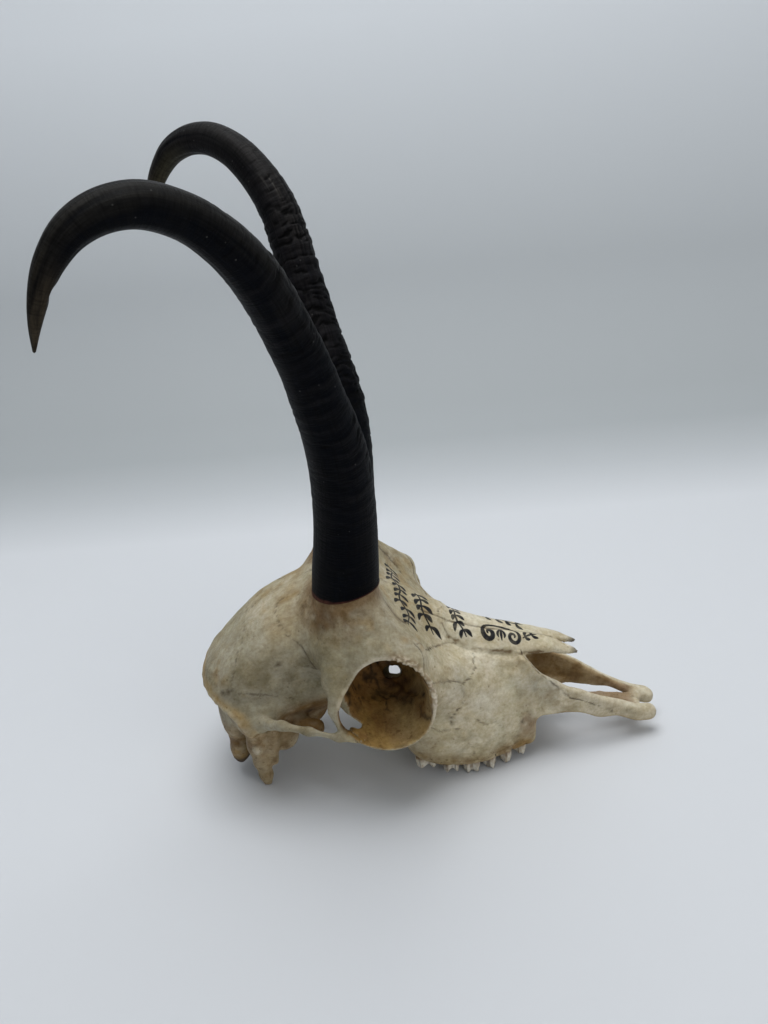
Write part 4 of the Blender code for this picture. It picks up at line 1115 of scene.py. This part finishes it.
def make_horn(side, material):
    back, up = horn_axes(side)
    rows = np.array(HORN, float)
    reach = np.concatenate([[0], np.cumsum(np.hypot(np.diff(rows[:, 0]), np.diff(rows[:, 1])))])
    line = [(reach[i], *rows[i]) for i in range(len(rows))]
    across = np.cross(back, up)
    length = reach[-1]
    sides = 104
    stops = np.concatenate([[0], np.linspace(1.2, length - 0.2, 540)])
    a = -side * 2 * math.pi * np.arange(sides) / sides
    s = np.repeat(stops, sides)
    angle = np.tile(a, len(stops))
    u, v, r = (curve(line, s, i) for i in (1, 2, 3))
    du = curve(line, s + 0.5, 1) - curve(line, s - 0.5, 1)
    dv = curve(line, s + 0.5, 2) - curve(line, s - 0.5, 2)
    if side > 0:
        u = u + 2.7 * ramp(45, 92, s) * ramp(168, 110, s)
        v = v + 2.5 * ramp(95, 150, s) + 4.0 * ramp(0.92 * length, length, s)
        dv = dv + 2.5 * (ramp(95, 150, s + 0.5) - ramp(95, 150, s - 0.5))
    first = s == 0
    du[first], dv[first] = 0.0, 1.0
    size = np.hypot(du, dv)
    normal = (dv[:, None] * back - du[:, None] * up) / size[:, None]
    straight = np.stack([r * np.cos(angle), r * np.sin(angle), s], 1)
    seed = 60 if side > 0 else 80

    # Growth rings: fine at the base, strong and irregular halfway, gone towards the hook.
    bent = straight + np.array([0, 0, 1.0]) * (
        2.6 * noise(straight, (11, 11, 16), seed) + 1.2 * noise(straight, (4, 4, 9), seed + 1))[:, None]
    wave = np.cos(2 * math.pi * (bent[:, 2] / 6.3 + 0.3 * np.sin(s / 15)))
    front = 0.55 - 0.45 * np.cos(angle)
    middle = ramp(22, 62, s) * ramp(0.70 * length, 0.5 * length, s)
    patchy = 0.6 + 0.6 * noise(straight, (8, 8, 9), seed + 9)
    lift = (0.34 if side > 0 else 0.13) * middle * np.maximum(wave, -0.5) * (0.45 + 0.6 * front) * patchy
    lift += 0.035 * ramp(60, 25, s) * np.cos(2 * math.pi * (bent[:, 2] / 1.9)) * patchy
    rings = noise(bent, (7.5, 7.5, 1.5), seed + 2)
    zone = ramp(28, 66, s) * ramp(0.74 * length, 0.58 * length, s)
    cracks = ramp(0.34, 0.72, noise(bent, (4.6, 4.6, 1.35), seed + 3)) * zone
    cracks *= ramp(-0.35, 0.25, noise(straight, (9, 9, 22), seed + 4) + 0.2 * front)
    if side > 0:
        torn = ramp(0.20, 0.55, noise(bent, (3.4, 3.4, 1.15), seed + 12)) * ramp(52, 70, s) * ramp(0.66 * length, 0.52 * length, s)
        cracks = np.maximum(cracks, torn * (0.6 + 0.5 * patchy))
    lift += (0.22 if side > 0 else 0.12) * zone * rings - (0.62 if side > 0 else 0.32) * cracks
    fibre = noise(straight, (1.3, 1.3, 34), seed + 5)
    lift += (0.05 + 0.09 * ramp(0.45 * length, 0.62 * length, s)) * fibre * ramp(0.97 * length, 0.86 * length, s)
    lift += 0.25 * noise(straight, (9, 9, 26), seed + 6)
    lift += 0.3 * np.exp(-s / 2.2)
    # Small chip inside the hook, near the tip.
    chip = np.exp(-((s - 0.925 * length) / 2.6) ** 2) * ramp(0.5, 0.9, np.cos(angle))
    lift -= 0.75 * chip * (1 if side < 0 else 0.4)
    lift *= np.clip(r / 3.0, 0.15, 1)
    radius = r + lift
    point = horn_root(side) + u[:, None] * back + v[:, None] * up + radius[:, None] * (
        np.cos(angle)[:, None] * normal + np.sin(angle)[:, None] * across)
    # The lowest stretch closes up to a level rim.
    low = s < BASE
    level = point[low] - v[low, None] * up
    rise = (RIM_HEIGHT + RIM_TILT * level[:, 0] + 0.25 * np.sin(3 * angle[low]) - level[:, 2]) / up[2]
    point[low] = level + (rise + (BASE - rise) * s[low] / BASE)[:, None] * up
    i = np.arange(sides)
    j = (i + 1) % sides
    rows_ = np.arange(len(stops) - 1)[:, None] * sides
    quads = np.stack([rows_ + i, rows_ + j, rows_ + sides + j, rows_ + sides + i], -1).reshape(-1, 4)
    tip = len(point)
    last = (len(stops) - 1) * sides
    ends = [point[last:].mean(0) + (point[last:].mean(0) - point[last - sides:last].mean(0)) * 1.2,
            point[:sides].mean(0)]
    point = np.concatenate([point, ends])
    fans = np.concatenate([np.stack([last + i, last + j, np.full(sides, tip)], 1),
                           np.stack([j, i, np.full(sides, tip + 1)], 1)])
    if side < 0:
        quads, fans = quads[:, ::-1], fans[:, ::-1]

    black, charcoal = np.array((0.0008, 0.0017, 0.0038)), np.array((0.0028, 0.0032, 0.0044))
    wear_and_sheen, rust = np.array((0.045, 0.042, 0.036)), np.array((0.12, 0.045, 0.030))
    colour = black + (charcoal - black) * ramp(-0.6, 0.8, rings + 0.5 * fibre)[:, None]

    def paint(target_colour, weight):
        nonlocal colour
        weight = np.clip(weight, 0, 1)[:, None]
        colour = colour * (1 - weight) + target_colour * weight

    outer = ramp(0.1, -0.95, np.cos(angle))
    hook = ramp(0.42 * length, 0.66 * length, s)
    # Grey on the outer side of the hook: the horn's wear plus a painted sheen where light falls on the hook.
    paint(wear_and_sheen, 0.55 * hook * outer * (0.6 + 0.6 * fibre))
    paint(wear_and_sheen * 0.45, 0.5 * hook * ramp(0.0, 0.8, noise(straight, (3, 3, 18), seed + 7)))
    if side > 0:
        thread = noise(straight, (0.8, 0.8, 22), seed + 11)
        paint(np.array((0.024, 0.022, 0.022)), 0.75 * ramp(60, 100, s) * (0.6 + 0.5 * fibre))
        paint(np.array((0.10, 0.095, 0.085)), 0.7 * hook * ramp(0.45, 0.8, thread) * outer)
        paint(np.array((0.055, 0.050, 0.028)), 0.6 * ramp(0.78 * length, 0.88 * length, s) * ramp(-0.2, 0.7, np.cos(angle)))
    paint(np.array((0.075, 0.058, 0.036)), 0.7 * ramp(0.86 * length, 0.97 * length, s) * (0.7 + 0.5 * fibre))
    # Slightly lighter paint on the crests of the growth rings: painted sheen on the raised rings.
    paint(np.array((0.016, 0.015, 0.017)), 0.4 * ramp(0.2, 0.9, wave) * middle * patchy)
    paint(rust, 0.9 * ramp(2.4, 0.7, s + 0.7 * noise(straight, (3, 3, 3), seed + 8)))
    paint(np.array((0.004, 0.004, 0.004)), 0.95 * cracks)
    paint(wear_and_sheen * 0.8, 0.8 * chip)
    extra = np.array([colour[last:].mean(0), rust])
    obj = new_object("horn_sheath_left" if side > 0 else "horn_sheath_right", placed(point),
                     [quads, fans], material, "horn")
    set_colour(obj, "paint", np.concatenate([colour, extra]))
    set_vector(obj, "straight", np.concatenate([straight, [(0, 0, length), (0, 0, 0)]]))
    rough = 0.50 - 0.10 * hook + 0.12 * cracks + 0.05 * ramp(40, 0, s)
    set_value(obj, "rough", np.concatenate([rough, [0.4, 0.6]]))
    attach(obj, "horn_left" if side > 0 else "horn_right")
    return obj


def make_tooth(row, side, material):
    """Worn crown: ribbed wall, jagged lower edge and a hollow grinding face."""
    name, x0, x1, middle, tip = row
    count = 56
    lobes = 2 if name.startswith("m") else 1
    top = float(gum((x0 + x1) / 2)) + ROOT - 0.3
    a = 2 * math.pi * np.arange(count) / count
    seed = 200 + 10 * [t[0] for t in TEETH].index(name) + (3 if side > 0 else 0)
    half_x, half_y = (x1 - x0) / 2 - 0.1, TOOTH_WIDTH / 2 - 0.1
    circle = np.stack([np.cos(a), np.sin(a), np.zeros(count)], 1)
    waist = 1 - 0.24 * (lobes - 1) * np.exp(-(np.cos(a) / 0.3) ** 2)
    ribs = 0.10 * np.cos(a * (6 if lobes == 2 else 4) + 0.6) + 0.09 * noise(circle * 4, 1.0, seed)
    along = np.sign(np.cos(a)) * np.abs(np.cos(a)) ** 0.7
    over = np.sign(np.sin(a)) * np.abs(np.sin(a)) ** 0.7
    # Lower edge: cusps over each lobe, notches between, and broken places.
    cusp = 0.5 - 0.5 * np.cos(a * 2 * lobes)
    broken = ramp(0.0, 0.5, noise(circle * 3.2, 1.0, seed + 1))
    edge = tip + 0.9 * (1 - cusp) ** 2 + 0.7 * broken + 0.5 * (1 - np.sin(a)) + 0.4 * noise(circle * 7, 1.0, seed + 9)
    edge = edge - edge.min() + tip + 0.05
    rings, tones = [], []
    for t in np.linspace(0, 1, 16):
        scale = (0.86 + 0.14 * ramp(0, 0.55, t)) * (1 - 0.06 * ramp(0.7, 1, t))
        wob = 1 + ribs * ramp(0.1, 0.6, t)
        z = top * (1 - t) + edge * t
        rings.append(np.stack([half_x * scale * wob * along, half_y * scale * waist * wob * over, z], 1))
        tones.append(np.full(count, t))
    for scale, rise in ((0.80, 0.15), (0.64, 0.9), (0.42, 1.5), (0.2, 1.3)):
        ring = rings[15].copy()
        ring[:, :2] *= scale
        ring[:, 2] = edge * scale + (tip + 1.2) * (1 - scale) + rise
        rings.append(ring)
        tones.append(np.full(count, 1 + rise))
    points = np.concatenate(rings)
    tone = np.concatenate(tones)
    grain = np.stack([points[:, 0], points[:, 1], points[:, 2] * 0.5], 1)
    shake = np.stack([noise(grain, 1.1, seed + k) for k in (2, 3, 4)], 1) * 0.14
    shake[np.arange(len(points)) < count] = 0
    points = points + shake
    points[:, 2] = np.maximum(points[:, 2], 0.0)
    points[:, 0] += (x0 + x1) / 2
    points[:, 1] = side * (middle + points[:, 1])
    levels = len(rings)
    i = np.arange(count)
    j = (i + 1) % count
    rows_ = np.arange(levels - 1)[:, None] * count
    quads = np.stack([rows_ + i, rows_ + sides_shift(count) + i, rows_ + sides_shift(count) + j, rows_ + j], -1)
    quads = quads.reshape(-1, 4)
    n = len(points)
    last = (levels - 1) * count
    points = np.concatenate([points, [points[last:].mean(0), points[:count].mean(0)]])
    fans = np.concatenate([np.stack([last + j, last + i, np.full(count, n)], 1),
                           np.stack([i, j, np.full(count, n + 1)], 1)])
    if side < 0:
        quads, fans = quads[:, ::-1], fans[:, ::-1]
    white, tan = np.array((0.74, 0.70, 0.60)), np.array((0.30, 0.19, 0.09))
    core = np.array((0.12, 0.07, 0.035))
    weight = np.clip(ramp(0.75, 0.35, tone) + 0.3 * noise(points[:n], 1.6, seed + 6), 0, 1)[:, None]
    colour = white * (1 - weight) + tan * weight
    cleft = ramp(0.25, 0.7, noise(grain, (0.9, 0.9, 3.0), seed + 7))[:, None] * 0.75
    colour = colour * (1 - cleft) + np.array((0.13, 0.085, 0.045)) * cleft
    deep = ramp(1.1, 2.0, tone)[:, None]
    colour = colour * (1 - deep) + core * deep
    colour = np.concatenate([colour, [core, tan]])
    where = "left" if side > 0 else "right"
    obj = new_object(f"crown_{name}_{where}", placed(points), [quads, fans], material, "tooth")
    set_colour(obj, "paint", colour)
    attach(obj, f"tooth_{name}_{where}")
    return obj


def sides_shift(count):
    return count


def make_stage():
    """Pale floor that sweeps up into the backdrop."""
    profile = [(-1.6, 0.0), (-0.6, 0.0), (0.0, 0.0), (0.30, 0.0)]
    for k in range(1, 17):
        t = math.radians(78) * k / 16
        profile.append((0.30 + 0.16 * math.sin(t), 0.16 * (1 - math.cos(t))))
    y, z = profile[-1]
    for k in range(1, 6):
        profile.append((y + 0.055 * k * 1.3, z + 0.26 * k * 1.3))
    points, faces = [], []
    for x in (-2.2, 2.2):
        points += [(x, py, pz) for py, pz in profile]
    count = len(profile)
    faces = [(i, count + i, count + i + 1, i + 1) for i in range(count - 1)]
    mesh = bpy.data.meshes.new("stage")
    mesh.from_pydata(points, [], faces)
    mesh.shade_smooth()
    material, node, link, shader = tree("stage", 0.75)
    parts = node("ShaderNodeSeparateXYZ")
    link(node("ShaderNodeTexCoord").outputs["Object"], parts.inputs[0])
    # The wall is darker at its foot and lighter towards its top: painted shade and light on the backdrop.
    rise = range_node(node, link, parts.outputs["Z"], 0.03, 0.32, 0.0, 1.0)
    back = range_node(node, link, parts.outputs["Y"], 0.235, 0.36, 0.0, 1.0)
    wall = mix_colour(node, link, "MIX", rise, (0.44, 0.465, 0.475), (0.725, 0.755, 0.785))
    link(mix_colour(node, link, "MIX", back, (0.708, 0.722, 0.742), wall), shader.inputs["Base Color"])
    shader.inputs["Specular IOR Level"].default_value = 0.2
    mesh.materials.append(material)
    obj = bpy.data.objects.new("stage", mesh)
    bpy.context.scene.collection.objects.link(obj)


def area(name, place, aim, size, power, colour):
    light = bpy.data.lights.new(name, "AREA")
    light.shape = "RECTANGLE"
    light.size, light.size_y = size
    light.energy = power
    light.color = colour
    obj = bpy.data.objects.new(name, light)
    bpy.context.scene.collection.objects.link(obj)
    obj.location = place
    obj.rotation_euler = (Vector(aim) - Vector(place)).to_track_quat("-Z", "Y").to_euler()
    return obj


def make_light():
    area("above", (-0.05, 0.10, 1.15), (0.0, 0.05, 0.0), (0.85, 0.75), 8.6, (0.97, 0.985, 1.0))
    fill = area("fill", (0.75, -1.0, 0.45), (0.05, 0.0, 0.05), (0.8, 0.8), 3.1, (1.0, 0.985, 0.96))
    fill.visible_glossy = False
    world = bpy.data.worlds.new("world")
    bpy.context.scene.world = world
    world.use_nodes = True
    nodes, links = world.node_tree.nodes, world.node_tree.links
    coordinate, parts = nodes.new("ShaderNodeTexCoord"), nodes.new("ShaderNodeSeparateXYZ")
    links.new(coordinate.outputs["Generated"], parts.inputs[0])
    height = nodes.new("ShaderNodeMapRange")
    links.new(parts.outputs["Z"], height.inputs[0])
    for n, value in enumerate((-0.1, 0.9, 0.03, 0.40)):
        height.inputs[n + 1].default_value = value
    nodes["Background"].inputs[0].default_value = (0.88, 0.94, 1.0, 1)
    links.new(height.outputs[0], nodes["Background"].inputs[1])
    bpy.context.scene.view_settings.view_transform = "Standard"


def make_camera():
    azimuth, elevation, roll = math.radians(0.02), math.radians(25.73), math.radians(-4.86)
    ahead = Vector((-math.sin(azimuth) * math.cos(elevation), math.cos(azimuth) * math.cos(elevation),
                    -math.sin(elevation)))
    right = Vector((math.cos(azimuth), math.sin(azimuth), 0))
    above = right.cross(ahead)
    right, above = (math.cos(roll) * right + math.sin(roll) * above,
                    math.cos(roll) * above - math.sin(roll) * right)
    data = bpy.data.cameras.new("camera")
    data.sensor_width = 36
    data.lens = 36 * 1000 / 1024
    data.clip_start, data.clip_end = 0.01, 20
    camera = bpy.data.objects.new("camera", data)
    bpy.context.scene.collection.objects.link(camera)
    matrix = Matrix.Identity(4)
    for row in range(3):
        matrix[row][0], matrix[row][1], matrix[row][2] = right[row], above[row], -ahead[row]
    matrix.translation = (-0.01036, -0.38705, 0.30928)
    camera.matrix_world = matrix
    bpy.context.scene.camera = camera


make_camera()
make_light()
make_stage()
make_skull(bone_material())
horn = horn_material()
tooth = tooth_material()
for side in (-1, 1):
    make_horn(side, horn)
    for row in TEETH:
        make_tooth(row, side, tooth)
